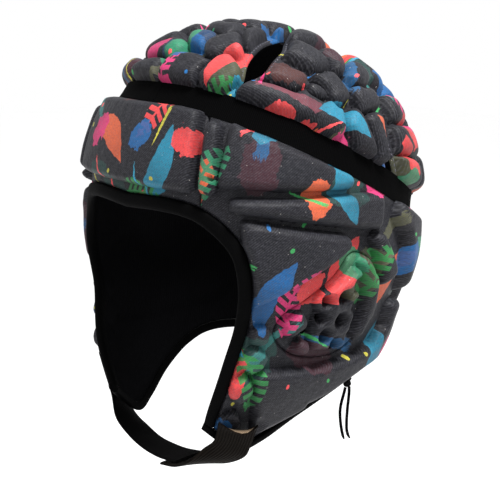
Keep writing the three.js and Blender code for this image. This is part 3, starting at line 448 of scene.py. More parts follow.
def printed_knit(name, shift):
    """Polyester tricot, dye printed: matt charcoal with paint-like motifs, and a fine slanting
    thread drawn lighter all over as a painted highlight of the light that grazes it."""
    made, tree, shader = new_material(name, "#121215", 0.58, 0.13, 0.03, "#c8c8d0")
    flat = add(tree, "UVMap", {"uv_map": "cloth"})
    mottle = add(tree, "TexNoise", {"noise_dimensions": "2D"}, Vector=flat.outputs[0],
                 Scale=1 / MOTTLE, Detail=4.0, Roughness=0.65)
    colour = add(tree, "MixRGB", Fac=mottle.outputs[0],
                 Color1=linear("#060609"), Color2=linear("#121217"))
    for spec in MOTIFS:
        mask, paint = motif_layer(tree, spec, shift)
        cover = add(tree, "Math", TIMES, in0=mask, in1=0.94)
        colour = add(tree, "MixRGB", Fac=cover, Color1=colour, Color2=paint)
    # Paint laid on unevenly, in washes
    wash = add(tree, "TexNoise", {"noise_dimensions": "2D"}, Vector=flat.outputs[0],
               Scale=1 / WASH, Detail=2.0)
    thin = add(tree, "Math", HELD_MINUS, in0=wash.outputs[0], in1=0.38)
    colour = add(tree, "MixRGB", Fac=thin, Color1=colour, Color2=linear("#08080a"))
    # Light flecks in the print, under a millimetre across
    flecks = add(tree, "TexVoronoi", {"voronoi_dimensions": "2D"}, Vector=flat.outputs[0],
                 Scale=1 / FLECK, Randomness=1.0)
    near = add(tree, "Math", UNDER, in0=flecks.outputs["Distance"], in1=0.05)
    chance = add(tree, "SeparateColor", in0=flecks.outputs["Color"])
    few = add(tree, "Math", UNDER, in0=chance.outputs[0], in1=0.07)
    fleck = add(tree, "Math", TIMES, in0=near, in1=few)
    fleck = add(tree, "Math", TIMES, in0=fleck, in1=0.4)
    colour = add(tree, "MixRGB", Fac=fleck, Color1=colour, Color2=linear("#b9b4ae"))
    # Grain of the brushed face
    grain = add(tree, "TexNoise", {"noise_dimensions": "2D"}, Vector=flat.outputs[0],
                Scale=1 / GRAIN, Detail=3.0, Roughness=0.75)
    worn = add(tree, "Math", HELD_MINUS, in0=grain.outputs[0], in1=0.45)
    worn = add(tree, "Math", HELD_TIMES, in0=worn, in1=2.0)
    colour = add(tree, "MixRGB", Fac=worn, Color1=colour, Color2=linear("#2f2f36"))
    # Painted highlight: the slanting threads are drawn lighter everywhere, as where light grazes
    # them, broken along their length
    threads = add(tree, "TexWave", {"wave_type": "BANDS", "bands_direction": "Y"},
                  Vector=cloth_place(tree, turn=THREAD_SLANT), Scale=wave_scale(THREAD_PITCH),
                  Distortion=0.6, Detail=1.0, Detail_Scale=0.5)
    broken = add(tree, "TexNoise", {"noise_dimensions": "2D"},
                 Vector=cloth_place(tree, turn=THREAD_SLANT, stretch=(0.25, 1.0)),
                 Scale=0.9, Detail=2.0)
    thread_highlight = add(tree, "Math", TIMES, in0=threads.outputs["Fac"], in1=broken.outputs[0])
    thread_highlight = add(tree, "Math", HELD_MINUS, in0=thread_highlight, in1=0.26)
    thread_highlight = add(tree, "Math", TIMES, in0=thread_highlight, in1=0.20)
    colour = add(tree, "MixRGB", Fac=thread_highlight, Color1=colour, Color2=linear("#8d8d92"))
    tree.links.new(colour.outputs[0], shader.inputs["Base Color"])
    # The cloth puckers between its stitches and over the foam
    pucker = add(tree, "TexNoise", {"noise_dimensions": "2D"}, Vector=flat.outputs[0],
                 Scale=1 / PUCKER, Detail=3.0, Roughness=0.55)
    ribs = add(tree, "Math", TIMES, in0=threads.outputs["Fac"], in1=0.08)
    height = add(tree, "Math", TIMES_PLUS, in0=pucker.outputs[0], in1=1.6, in2=ribs)
    bump = add(tree, "Bump", Height=height, Strength=1.0, Distance=PUCKER_DEPTH * MM)
    tree.links.new(bump.outputs[0], shader.inputs["Normal"])
    return made


def plain_cloth(name, colour, high, roughness, pitch, turn, depth, sheen):
    """Plain cloth with ribs of a real pitch and depth: matt, with a painted highlight on its ribs.
    """
    made, tree, shader = new_material(name, colour, roughness, 0.02, sheen, "#50505a")
    place = cloth_place(tree, turn=turn)
    ribs = add(tree, "TexWave", {"wave_type": "BANDS", "bands_direction": "X"},
               Vector=place, Scale=wave_scale(pitch), Distortion=0.35, Detail=1.5,
               Detail_Scale=0.8)
    fuzz = add(tree, "TexNoise", {"noise_dimensions": "2D"}, Vector=place, Scale=1 / FUZZ,
               Detail=4.0, Roughness=0.7)
    # Painted highlight: the ribs are drawn in the lighter colour, broken up by the fuzz
    rib_highlight = add(tree, "Math", TIMES, in0=ribs.outputs["Fac"], in1=fuzz.outputs[0])
    colours = add(tree, "MixRGB", Fac=rib_highlight, Color1=linear(colour), Color2=linear(high))
    tree.links.new(colours.outputs[0], shader.inputs["Base Color"])
    height = add(tree, "Math", TIMES_PLUS, in0=fuzz.outputs[0], in1=0.5, in2=ribs.outputs["Fac"])
    bump = add(tree, "Bump", Height=height, Strength=1.0, Distance=depth * MM)
    tree.links.new(bump.outputs[0], shader.inputs["Normal"])
    return made


# How far the print is moved on each panel, in steps of its seed
PRINT_SHIFTS = {"brow": 0.0, "left": 2.3, "right": 5.1, "back": 7.7, "crown": 3.9}
PLAIN_CLOTHS = [
    # use, name, colour, colour painted on the ribs as their highlight, roughness, pitch, turn,
    # depth, sheen
    # Knitted elastic: dull, with fine upright ribs
    ("elastic", "knitted_elastic", "#010101", "#050506", 0.85, 1.3, 0.0, 0.25, 0.0),
    # Folded jersey tape: smooth and matt, its knit too fine to see
    ("binding", "jersey_binding", "#020202", "#060607", 0.7, 1.0, 0.6, 0.06, 0.02),
    # Brushed tricot lining: soft, dull, with faint ribs
    ("lining", "brushed_tricot_lining", "#060607", "#0e0e10", 0.95, 1.6, 0.0, 0.12, 0.0),
    # Woven elastic webbing: slanting ribs that catch a little light
    ("webbing", "woven_elastic_webbing", "#030303", "#0d0c0d", 0.75, 1.4, 1.2, 0.3, 0.0),
    # Nylon hook tape: brown black, stiff, with fine cross ribs
    ("hook_tape", "nylon_hook_tape", "#080605", "#17130f", 0.6, 1.5, 0.0, 0.3, 0.0),
    # Bare woven back of the hook tape, where its end curls away
    ("tape_back", "hook_tape_back", "#5e4f3f", "#80705c", 0.7, 0.9, 0.0, 0.1, 0.15),
    # Braided polyester lace: matt, with small slanting strands
    ("lace", "braided_polyester_lace", "#030304", "#0c0c0e", 0.7, 1.0, 0.7, 0.2, 0.0),
    # Spun polyester thread: grey, a little lighter than the cloth
    ("thread", "polyester_thread", "#4a4a52", "#6c6c74", 0.55, 0.5, 0.9, 0.05, 0.15),
]


def make_finishes():
    """Every finish of the cap, by its use."""
    made = {}
    for use, shift in PRINT_SHIFTS.items():
        made[use] = printed_knit(f"printed_tricot_{use}", shift)
    for use, *looks in PLAIN_CLOTHS:
        made[use] = plain_cloth(*looks)
    return made


# The head form and its flat maps


def section_share(column, drop):
    """Smooth value of one column of the head's sections at a drop."""
    drops, values = HEAD_SECTIONS[:, 0], HEAD_SECTIONS[:, column]
    slopes = np.zeros(len(drops))
    slopes[1:-1] = (values[2:] - values[:-2]) / (drops[2:] - drops[:-2])
    slopes[-1] = (values[-1] - values[-2]) / (drops[-1] - drops[-2])
    low = np.searchsorted(drops[1:-1], drop, side="left")
    step = drops[low + 1] - drops[low]
    share = np.clip((drop - drops[low]) / step, 0, 1)
    square, cube = share ** 2, share ** 3
    return (
        values[low] * (2 * cube - 3 * square + 1)
        + slopes[low] * step * (cube - 2 * square + share)
        + values[low + 1] * (3 * square - 2 * cube)
        + slopes[low + 1] * step * (cube - square)
    )


def head_normal(point, width_share, length_share):
    """Outward direction of the head form at its points."""
    x, y, z = point[..., 0], point[..., 1], point[..., 2]
    reach = np.where(y < 0, FRONT_REACH, BACK_REACH) * length_share
    width = HALF_WIDTH * width_share
    across, along = np.abs(x) / width, np.abs(y) / reach
    plan = np.maximum(across ** PLAN_POWER + along ** PLAN_POWER, 1e-9)
    above = z > 0
    pull = np.where(above, plan ** (DOME_POWER / PLAN_POWER - 1), 1.0)
    rise = np.where(above, (np.maximum(z, 0) / DOME_RISE) ** (DOME_POWER - 1) / DOME_RISE, 0.0)
    normal = np.stack([
        np.sign(x) * pull * across ** (PLAN_POWER - 1) / width,
        np.sign(y) * pull * along ** (PLAN_POWER - 1) / reach,
        rise,
    ], axis=-1)
    return normal / np.linalg.norm(normal, axis=-1, keepdims=True)


def band_point(x, height, offset):
    """Point at a place on the band, moved outwards by an offset, in millimetres."""
    x, height, offset = np.broadcast_arrays(*[np.asarray(v, float) for v in (x, height, offset)])
    angle = x / ALONG_ANGLE * math.pi / 180
    up = np.clip(height / DOME_RISE, 0, 0.98)
    rise = (1 - up ** DOME_POWER) ** (1 / DOME_POWER)
    drop = np.maximum(-height, 0) / FLAP_DROP
    sine, cosine = np.sin(angle), np.cos(angle)
    width_share = rise * section_share(1, drop)
    front = cosine > 0
    length_share = rise * np.where(front, section_share(2, drop), section_share(3, drop))
    reach = np.where(front, FRONT_REACH, BACK_REACH) * length_share
    across, along = np.abs(sine) / (HALF_WIDTH * width_share), np.abs(cosine) / reach
    radius = (across ** PLAN_POWER + along ** PLAN_POWER) ** (-1 / PLAN_POWER)
    point = np.stack([radius * sine, -radius * cosine, height], axis=-1)
    above = height > 0
    normal = head_normal(point, np.where(above, 1, width_share), np.where(above, 1, length_share))
    return point + normal * offset[..., None]


def crown_point(x, y, offset):
    """Point at a place on the crown, moved outwards by an offset, in millimetres."""
    x, y, offset = np.broadcast_arrays(*[np.asarray(v, float) for v in (x, y, offset)])
    lean, heading = np.hypot(x, y) / 100, np.arctan2(x, y)
    aside, back, up = np.sin(lean) * np.sin(heading), np.sin(lean) * np.cos(heading), np.cos(lean)
    way = np.stack([
        aside,
        back * math.cos(HEM_TILT) + up * math.sin(HEM_TILT),
        up * math.cos(HEM_TILT) - back * math.sin(HEM_TILT),
    ], axis=-1)
    reach = np.where(way[..., 1] < 0, FRONT_REACH, BACK_REACH)
    across, along = np.abs(way[..., 0]) / HALF_WIDTH, np.abs(way[..., 1]) / reach
    plan = across ** PLAN_POWER + along ** PLAN_POWER
    rise = (np.maximum(way[..., 2], 0) / DOME_RISE) ** DOME_POWER
    radius = (plan ** (DOME_POWER / PLAN_POWER) + rise) ** (-1 / DOME_POWER)
    point = way * radius[..., None]
    return point + head_normal(point, 1.0, 1.0) * offset[..., None]


def over_hem(point, hem):
    """Height of points over one of the tilted hems."""
    return (point[..., 2] - hem + math.tan(HEM_TILT) * point[..., 1]) * math.cos(HEM_TILT)


def solved(value_at, low, high):
    """Where a rising function of many places at once crosses zero, by halving."""
    for _ in range(34):
        middle = (low + high) / 2
        below = value_at(middle) < 0
        low, high = np.where(below, middle, low), np.where(below, high, middle)
    return (low + high) / 2


def band_hem_height(x, offset=SEAM_FACE):
    """Height of the band's upper hem at places along it."""
    x = np.asarray(x, float)

    def past_hem(height):
        return over_hem(band_point(x, height, offset), BAND_HEM - GAP)

    return solved(past_hem, np.full(x.shape, -75.0), np.full(x.shape, 95.0))


def crown_hem_loop(hem, offset, headings):
    """Places on the crown's map where a hem crosses given headings."""
    headings = np.asarray(headings, float)

    def short_of_hem(lean):
        return -over_hem(crown_point(lean * np.sin(headings), lean * np.cos(headings), offset), hem)

    lean = solved(short_of_hem, np.full(headings.shape, 40.0), np.full(headings.shape, 150.0))
    return np.stack([lean * np.sin(headings), lean * np.cos(headings)], axis=-1)


# Lines on the maps


def curve_through(points, closed=False, parts=24):
    """Smooth curve through points, finely divided."""
    points = np.asarray(points, float)
    count = len(points)
    spans = count if closed else count - 1
    share = np.linspace(0, 1, parts, endpoint=False)[:, None]
    runs = []
    for index in range(spans):
        start, end = points[index], points[(index + 1) % count]
        before = points[index - 1] if closed or index > 0 else 2 * start - end
        after = points[(index + 2) % count] if closed or index < spans - 1 else 2 * end - start
        first, middle, last = [
            max(np.linalg.norm(b - a) ** 0.5, 1e-4)
            for a, b in ((before, start), (start, end), (end, after))
        ]
        run = (end - start) / middle
        leave = (start - before) / first - (end - before) / (first + middle) + run
        arrive = run - (after - start) / (middle + last) + (after - end) / last
        leave, arrive = leave * middle, arrive * middle
        bend = 3 * (end - start) - 2 * leave - arrive
        twist = 2 * (start - end) + leave + arrive
        runs.append(start + leave * share + bend * share ** 2 + twist * share ** 3)
    if not closed:
        runs.append(points[-1:])
    return np.vstack(runs)


def run_lengths(line):
    """Length of an open line up to each of its points."""
    return np.concatenate([[0], np.cumsum(np.linalg.norm(np.diff(line, axis=0), axis=1))])


def places_on(line, lengths, places):
    """Points of a line at given lengths along it."""
    return np.stack([np.interp(places, lengths, column) for column in line.T], axis=-1)


def spaced(line, step):
    """The same open line with its points about a step apart."""
    line = np.asarray(line, float)
    lengths = run_lengths(line)
    count = max(2, int(round(lengths[-1] / step)) + 1)
    return places_on(line, lengths, np.linspace(0, lengths[-1], count))


def spaced_loop(line, step):
    """The same closed line with its points about a step apart."""
    return spaced(np.vstack([line, line[:1]]), step)[:-1]


def aside_of(line, closed=False):
    """Unit directions to the left of a line as it runs."""
    if closed:
        run = np.roll(line, -1, axis=0) - np.roll(line, 1, axis=0)
    else:
        run = np.gradient(line, axis=0)
    run = run / np.linalg.norm(run, axis=1, keepdims=True)
    return np.stack([-run[:, 1], run[:, 0]], axis=-1)


def moved_line(line, distance, closed=False):
    """A line moved sideways, to its left as it runs for a positive distance."""
    return line + aside_of(line, closed) * distance


def flipped(line, about=0.0):
    """The line's mirror image about a value of x, run the other way."""
    return (line * np.array([-1.0, 1.0]) + np.array([2 * about, 0]))[::-1]


def crossing(first, second):
    """Indices and place where two open lines first cross."""
    a, b = first[:-1, None], first[1:, None]
    c, d = second[None, :-1], second[None, 1:]

    def turned(p, q):
        return p[..., 0] * q[..., 1] - p[..., 1] * q[..., 0]

    run = turned(b - a, d - c)
    run = np.where(np.abs(run) < 1e-12, 1e-12, run)
    t = turned(c - a, d - c) / run
    u = turned(c - a, b - a) / run
    found = np.argwhere((t >= 0) & (t < 1) & (u >= 0) & (u < 1))
    i, j = found[0]
    return i, j, first[i] + t[i, j] * (first[i + 1] - first[i])


def cut_at_x(line, x):
    """The parts of a line before and after it first passes a value of x."""
    index = int(np.argmax(line[:, 0] > x))
    start, end = line[index - 1], line[index]
    share = (x - start[0]) / (end[0] - start[0])
    cut = start + share * (end - start)
    return np.vstack([line[:index], cut]), np.vstack([cut, line[index:]])


def line_distance(line, x, y, closed=False):
    """Distance from many places to a line."""
    ends = np.vstack([line, line[:1]]) if closed else line
    least = np.full(np.shape(x), np.inf)
    for (start_x, start_y), (end_x, end_y) in zip(ends[:-1], ends[1:]):
        run_x, run_y = end_x - start_x, end_y - start_y
        square = run_x ** 2 + run_y ** 2
        if square < 1e-12:
            continue
        share = np.clip(((x - start_x) * run_x + (y - start_y) * run_y) / square, 0, 1)
        away = (x - start_x - share * run_x) ** 2 + (y - start_y - share * run_y) ** 2
        least = np.minimum(least, away)
    return np.sqrt(least)


def inside_loop(loop, x, y):
    """Which places lie inside a closed line."""
    inside = np.zeros(np.shape(x), bool)
    for (start_x, start_y), (end_x, end_y) in zip(loop, np.roll(loop, -1, axis=0)):
        if start_y == end_y:
            continue
        crosses = (start_y > y) != (end_y > y)
        edge = start_x + (y - start_y) * (end_x - start_x) / (end_y - start_y)
        inside ^= crosses & (x < edge)
    return inside


def band_places(rows):
    """Rows of angle and level as places on the band's map."""
    return np.array([(angle * ALONG_ANGLE, level * FLAP_DROP) for angle, level in rows])


FACE_EDGE = spaced(curve_through(band_places(FACE_LINE)), EDGE_STEP)
NECK_EDGE = spaced(curve_through(band_places(NECK_LINE)), EDGE_STEP)
EAR_BORDER = spaced_loop(curve_through(band_places(EAR_LINE), closed=True), EDGE_STEP)
MIDDLE_BORDER = spaced(curve_through(MIDDLE_LINE), EDGE_STEP)
SIDE_BORDER = spaced(curve_through(SIDE_LINE), EDGE_STEP)


# Pads


# How far the rows of one bent pad run into each other, in millimetres
JOIN_OVERLAP = 6.5


def pad_rows(rows, scale_x=1.0, scale_y=1.0):
    """Pads of a table, with places on a map and half widths in millimetres. Rows that follow each
    other under one name run into each other and make one bent pad."""
    pads = [
        {
            "name": name,
            "start": np.array([x0 * scale_x, y0 * scale_y]),
            "end": np.array([x1 * scale_x, y1 * scale_y]),
            "halves": (w0 * PAD_WIDTH / 2, w1 * PAD_WIDTH / 2),
        }
        for name, x0, y0, w0, x1, y1, w1 in rows
    ]
    ways = [pad["end"] - pad["start"] for pad in pads]
    ways = [way / np.linalg.norm(way) * JOIN_OVERLAP for way in ways]
    for index in range(len(pads) - 1):
        if pads[index]["name"] == pads[index + 1]["name"]:
            pads[index]["end"] = pads[index]["end"] + ways[index]
            pads[index + 1]["start"] = pads[index + 1]["start"] - ways[index + 1]
    return pads


def mirrored_pad(pad):
    """The same pad on the other side of the crown."""
    (x0, y0), (x1, y1) = pad["start"], pad["end"]
    return {**pad, "name": pad["name"] + " right", "start": (-x0, y0), "end": (-x1, y1)}


BAND_PAD_LIST = pad_rows(BAND_PADS, ALONG_ANGLE, FLAP_DROP)
EAR_PAD_LIST = pad_rows(EAR_PADS, ALONG_ANGLE, FLAP_DROP)
FRONT_PAD_LIST = [{**pad, "name": "front " + pad["name"]} for pad in pad_rows(FRONT_PADS)]
SIDE_PAD_LIST = pad_rows(CROWN_PADS)
RIGHT_PAD_LIST = [mirrored_pad(pad) for pad in SIDE_PAD_LIST if pad["start"][0] > 0]
CROWN_PAD_LIST = FRONT_PAD_LIST + SIDE_PAD_LIST + RIGHT_PAD_LIST


def soft_least(values, corner):
    """Smallest of several values, with its corners rounded."""
    return -corner * np.log(sum(np.exp(-value / corner) for value in values))


def depth_in_pad(pad, x, y, corner):
    """How far inside a tapered pad each place lies, negative outside it."""
    (x0, y0), (x1, y1) = pad["start"], pad["end"]
    low, high = pad["halves"]
    run_x, run_y = x1 - x0, y1 - y0
    length = math.hypot(run_x, run_y)
    along = ((x - x0) * run_x + (y - y0) * run_y) / length
    aside = np.abs((x - x0) * run_y - (y - y0) * run_x) / length
    taper = (high - low) / length
    half = low + taper * along
    sides = [along, length - along, (half - aside) / math.hypot(1, taper)]
    return soft_least([np.maximum(side, -12.0) for side in sides], corner)


def depth_in_pads(pads, x, y, corner, growth):
    """Depth from the nearest groove: pads that meet share one, and between pads that lie apart
    the fabric is flat. Growth makes every pad that much wider all round."""
    depths = {}
    for pad in pads:
        depth = depth_in_pad(pad, x, y, corner) + growth
        known = depths.get(pad["name"])
        depths[pad["name"]] = depth if known is None else np.maximum(known, depth)
    first = np.full(np.shape(x), -np.inf)
    second = np.full(np.shape(x), -np.inf)
    for depth in depths.values():
        second = np.maximum(second, np.minimum(first, depth))
        first = np.maximum(first, depth)
    return np.minimum(first, (first - second) / 2)


# Soft unevenness of the foam's faces and the tape, in millimetres
BAND_RIPPLE = {"depth": 0.16, "size": 13, "seed": 5}
EAR_RIPPLE = {"depth": 0.35, "size": 6, "seed": 8}
CROWN_RIPPLE = {"depth": 0.2, "size": 11, "seed": 3}
TAPE_RIPPLE = {"depth": 0.12, "size": 16, "seed": 21}


def ripple(x, y, depth, size, seed):
    """Unevenness of sewn cloth, up to a depth either way, with bumps of about one size."""
    waves = np.random.default_rng(seed)
    total = np.zeros(np.shape(x))
    for _ in range(9):
        turn, phase = waves.uniform(0, 2 * math.pi, 2)
        pace = 2 * math.pi / (size * waves.uniform(0.7, 1.6))
        total += np.sin(pace * (x * math.cos(turn) + y * math.sin(turn)) + phase)
    return depth * (total / 9)


# Foam left under a pressed groove, and the width over which a pad's face rises to its full depth
GROOVE_DEPTH = 1.7
BAND_SHOULDER = 4.8
CROWN_SHOULDER = 6.4
EAR_SHOULDER = 5.0
# How much wider the pads are than their tables say, and how round their corners are
BAND_GROWTH = 0.6
CROWN_GROWTH = 2.6
BAND_CORNER = 1.5
CROWN_CORNER = 1.7
# Flat cloth between the pads and the edges of the band, the ear's border, the hem and the seams
EDGE_FLAT = 0.8
EAR_FLAT = 0.6
HEM_FLAT = 0.5
SEAM_FLAT = 0.3


def swell(depth, shoulder):
    """Offset of a pad's face: from the pressed groove to the full foam over its shoulder."""
    share = np.clip(depth / shoulder, 0, 1)
    return INNER_FACE + GROOVE_DEPTH + (FOAM_DEPTH - GROOVE_DEPTH) * np.sqrt(1 - (1 - share) ** 2)


# Punched vents in the band's valleys: angle and level, then the radius and depth of each
PUNCHED = [(42.0, 0.17), (118.0, 0.125), (111.0, -0.055)]
PUNCH_RADIUS = 1.35
PUNCH_DEPTH = 3.6


def strap_print(rows, sign):
    """Outline on the band's map of where the strap or tab lies on a flap."""
    front = [(sign * abs(row[0]), row[1]) for row in rows]
    rear = [(sign * abs(row[2]), row[3]) for row in rows]
    return band_places(front + rear[::-1])


STRAP_PRINT = strap_print(STRAP_ON_FLAP, -1)
TAB_PRINT = strap_print(TAB_ON_FLAP, 1)
# Over this distance the pads rise again by STRAP_SINK beside the strap
PRESS_EASE = 5.0


def pressed(x, y, offset):
    """The pads' face, pressed in where the strap and the tab lie on it."""
    for loop in (STRAP_PRINT, TAB_PRINT):
        away = np.where(inside_loop(loop, x, y), 0.0, line_distance(loop, x, y, closed=True))
        limit = -STRAP_SINK - 2 * GAP + STRAP_SINK * np.clip(away / PRESS_EASE, 0, 3) ** 1.5
        offset = np.minimum(offset, limit)
    return offset


def band_relief(x, y):
    """Outer face of the band's panels at places on its map."""
    side = np.abs(x)
    side = np.where(side > HALF_TURN, 2 * HALF_TURN - side, side)
    edge = np.minimum(
        line_distance(FACE_EDGE, side, y) - EDGE_FLAT,
        line_distance(NECK_EDGE, side, y) - NECK_BINDING_WIDTH - EDGE_FLAT,
    )
    border = line_distance(EAR_BORDER, side, y, closed=True)
    hem = -over_hem(band_point(side, y, SEAM_FACE), BAND_HEM) - EDGE_FLAT
    depth = depth_in_pads(BAND_PAD_LIST, side, y, BAND_CORNER, BAND_GROWTH)
    depth = np.minimum(np.minimum(depth, edge), np.minimum(border, hem))
    offset = swell(depth, BAND_SHOULDER) + ripple(x, y, **BAND_RIPPLE)
    for place_x, place_y in band_places(PUNCHED):
        away = np.hypot(side - place_x, y - place_y) / PUNCH_RADIUS
        offset = offset - PUNCH_DEPTH * np.exp(-away ** 4)
    return pressed(x, y, offset)


def ear_relief(x, y):
    """Outer face of the pierced ear pad."""
    side = np.abs(x)
    border = line_distance(EAR_BORDER, side, y, closed=True)
    hole = np.full(np.shape(x), np.inf)
    for hole_x, hole_y in band_places(EAR_HOLES):
        hole = np.minimum(hole, np.hypot(side - hole_x, y - hole_y) - EAR_HOLE / 2)
    depth = np.minimum(depth_in_pads(EAR_PAD_LIST, side, y, BAND_CORNER, 0), border - EAR_FLAT)
    # Round the holes the fabric rises slowly, so that knuckles stand up where holes lie far apart
    share = np.clip((0.9 * hole + 0.3) / EAR_SHOULDER, 0, 1)
    knuckles = INNER_FACE + GROOVE_DEPTH + (FOAM_DEPTH - GROOVE_DEPTH) * share * (2 - share)
    offset = soft_least([swell(depth, EAR_SHOULDER), knuckles], 0.5)
    return np.maximum(offset, INNER_FACE + 1.0) + ripple(x, y, **EAR_RIPPLE)


# Flat flange along the vents: its width, the length over which it runs out, and the x from which
# it is left
VENT_FLANGE = 3.2
FLANGE_EASE = 8.0
VENTS_FROM = 22.0


def crown_relief(x, y):
    """Outer face of the crown's pads. Along the vents a flat flange is left for the stitches."""
    side = np.abs(x)
    seam = np.minimum(line_distance(MIDDLE_BORDER, side, y), line_distance(SIDE_BORDER, side, y))
    beside_vent = np.zeros(np.shape(x))
    for low, high in (FRONT_VENT, REAR_VENT):
        inside = np.minimum(y - low, high - y) / FLANGE_EASE
        beside_vent = np.maximum(beside_vent, np.clip(inside + 0.2, 0, 1))
    flange = VENT_FLANGE * beside_vent * (side > VENTS_FROM)
    hem = over_hem(crown_point(x, y, SEAM_FACE), CROWN_HEM) - HEM_FLAT
    depth = depth_in_pads(CROWN_PAD_LIST, x, y, CROWN_CORNER, CROWN_GROWTH)
    depth = np.minimum(np.minimum(depth, seam - SEAM_FLAT - flange), hem)
    return swell(depth, CROWN_SHOULDER) + ripple(x, y, **CROWN_RIPPLE)


# Meshes


def new_object(name, points, faces, material, cloth=None, smooth_angle=50.0):
    """An object from points in millimetres from the middle of the head. Cloth holds each point's
    place on the cloth, for the patterns."""
    mesh = bpy.data.meshes.new(name)
    placed = (np.asarray(points) - np.array([0, 0, HEAD_TOP])) * MM
    mesh.from_pydata(placed.tolist(), [], [list(face) for face in faces])
    mesh.update()
    if cloth is not None:
        layer = mesh.uv_layers.new(name="cloth")
        corners = np.empty(len(mesh.loops), dtype=np.int32)
        mesh.loops.foreach_get("vertex_index", corners)
        layer.data.foreach_set("uv", np.asarray(cloth, dtype=np.float32)[corners].ravel())
    mesh.shade_smooth()
    mesh.set_sharp_from_angle(angle=math.radians(smooth_angle))
    made = bpy.data.objects.new(name, mesh)
    bpy.context.scene.collection.objects.link(made)
    for finish in material if isinstance(material, list) else [material]:
        mesh.materials.append(finish)
    return made


def filled(loops, step):
    """Flat mesh of points and triangles inside the first loop and outside the others."""
    outline = loops[0]
    low, high = outline.min(axis=0), outline.max(axis=0)
    row_step = step * math.sqrt(3) / 2
    rows = np.arange(low[1], high[1] + row_step, row_step)
    columns = np.arange(low[0], high[0] + step, step)
    x, y = np.meshgrid(columns, rows)
    x = x + (np.arange(len(rows)) % 2)[:, None] * step / 2
    x, y = x.ravel(), y.ravel()
    keep = inside_loop(outline, x, y)
    for hole in loops[1:]:
        keep &= ~inside_loop(hole, x, y)
    x, y = x[keep], y[keep]
    clear = np.ones(len(x), bool)
    for loop in loops:
        clear &= line_distance(loop, x, y, closed=True) > 0.6 * step
    x, y = x[clear], y[clear]
    points = [Vector(place) for loop in loops for place in loop.tolist()]
    edges = []
    start = 0
    for loop in loops:
        count = len(loop)
        edges += [(start + index, start + (index + 1) % count) for index in range(count)]
        start += count
    points += [Vector(place) for place in zip(x.tolist(), y.tolist())]
    verts, _, faces, *_ = delaunay_2d_cdt(points, edges, [], 0, 1e-5, False)
    flat = np.array([tuple(vert) for vert in verts])
    triangles = np.array([tuple(face) for face in faces])
    middle = flat[triangles].mean(axis=1)
    keep = inside_loop(outline, middle[:, 0], middle[:, 1])
    for hole in loops[1:]:
        keep &= ~inside_loop(hole, middle[:, 0], middle[:, 1])
    triangles = triangles[keep]
    a, b, c = flat[triangles[:, 0]], flat[triangles[:, 1]], flat[triangles[:, 2]]
    area = (b[:, 0] - a[:, 0]) * (c[:, 1] - a[:, 1]) - (b[:, 1] - a[:, 1]) * (c[:, 0] - a[:, 0])
    triangles[area < 0] = triangles[area < 0][:, ::-1]
    triangles = triangles[np.abs(area) > 1e-9]
    used = np.unique(triangles)
    renumbered = np.full(len(flat), -1)
    renumbered[used] = np.arange(len(used))
    return flat[used], renumbered[triangles]


def open_edges(triangles):
    """Directed edges that belong to one triangle only."""
    edges = np.vstack([triangles[:, [0, 1]], triangles[:, [1, 2]], triangles[:, [2, 0]]])
    edges = edges.astype(np.int64)
    size = int(triangles.max()) + 1
    codes = edges[:, 0] * size + edges[:, 1]
    back = edges[:, 1] * size + edges[:, 0]
    return edges[~np.isin(codes, back)]


# How far in from its edge a panel rolls down, and how far down
FOLD = 1.5
FOLD_DROP = 1.2


def cloth_shell(name, loops, point_at, relief_at, inner_at, material, step, shift=(0, 0),
                folded=True):
    """Closed shell: an outer face with relief, rolled down at its edges, an inner one and a rim."""
    flat, triangles = filled(loops, step)
    x, y = flat[:, 0], flat[:, 1]
    outer_offset = relief_at(x, y)
    if folded:
        away = np.full(len(x), np.inf)
        for loop in loops:
            away = np.minimum(away, line_distance(loop, x, y, closed=True))
        share = np.clip(away / FOLD, 0, 1)
        outer_offset = outer_offset - FOLD_DROP * (1 - np.sqrt(1 - (1 - share) ** 2))
    outer = point_at(x, y, outer_offset)
    inner = point_at(x, y, inner_at(x, y) if callable(inner_at) else inner_at)
    count = len(flat)
    rim = open_edges(triangles)
    faces = triangles.tolist()
    faces += (triangles[:, ::-1] + count).tolist()
    faces += [(int(b), int(a), int(a) + count, int(b) + count) for a, b in rim]
    places = np.vstack([flat, flat]) + np.array(shift)
    return new_object(name, np.vstack([outer, inner]), faces, material, places)


def swept(name, rings, material, cloth, closed_run=False, caps=True, smooth_angle=50.0):
    """Surface through rings of as many points each, in millimetres."""
    rings = np.asarray(rings)
    count, around = rings.shape[:2]
    faces = []
    for index in range(count if closed_run else count - 1):
        here, beyond = index * around, ((index + 1) % count) * around
        for corner in range(around):
            beside = (corner + 1) % around
            faces.append((here + corner, here + beside, beyond + beside, beyond + corner))
    if caps and not closed_run:
        faces.append(tuple(range(around))[::-1])
        faces.append(tuple(range((count - 1) * around, count * around)))
    return new_object(name, rings.reshape(-1, 3), faces, material,
                      np.asarray(cloth).reshape(-1, 2), smooth_angle)


def faces_out(piece):
    """Turns a closed piece's faces outwards."""
    work = bmesh.new()
    work.from_mesh(piece.data)
    bmesh.ops.recalc_face_normals(work, faces=work.faces)
    work.to_mesh(piece.data)
    work.free()


def stands_for(piece, nodes):
    """Places a piece in the frame: it rides on the cap and stands for its CAD nodes."""
    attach(piece, "root")
    if nodes:
        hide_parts(*nodes)


# Lower band


def upright(x, low, high):
    """A straight line up the band's map."""
    return spaced(np.array([(x, low), (x, high)]), EDGE_STEP)


def hem_line(low, high):
    """The band's upper hem between two places along it."""
    x = np.linspace(low, high, max(3, int(abs(high - low) / EDGE_STEP)))
    return np.stack([x, band_hem_height(x)], axis=-1)


# Points of an outline that lie nearer than this, in millimetres, are one
SAME_PLACE = 0.12


def joined(*lines):
    """One closed outline from lines that run on from each other."""
    points = np.vstack(lines)
    keep = np.linalg.norm(points - np.roll(points, 1, axis=0), axis=1) > SAME_PLACE
    return points[keep]


EAR_HOLE_SIDES = 14


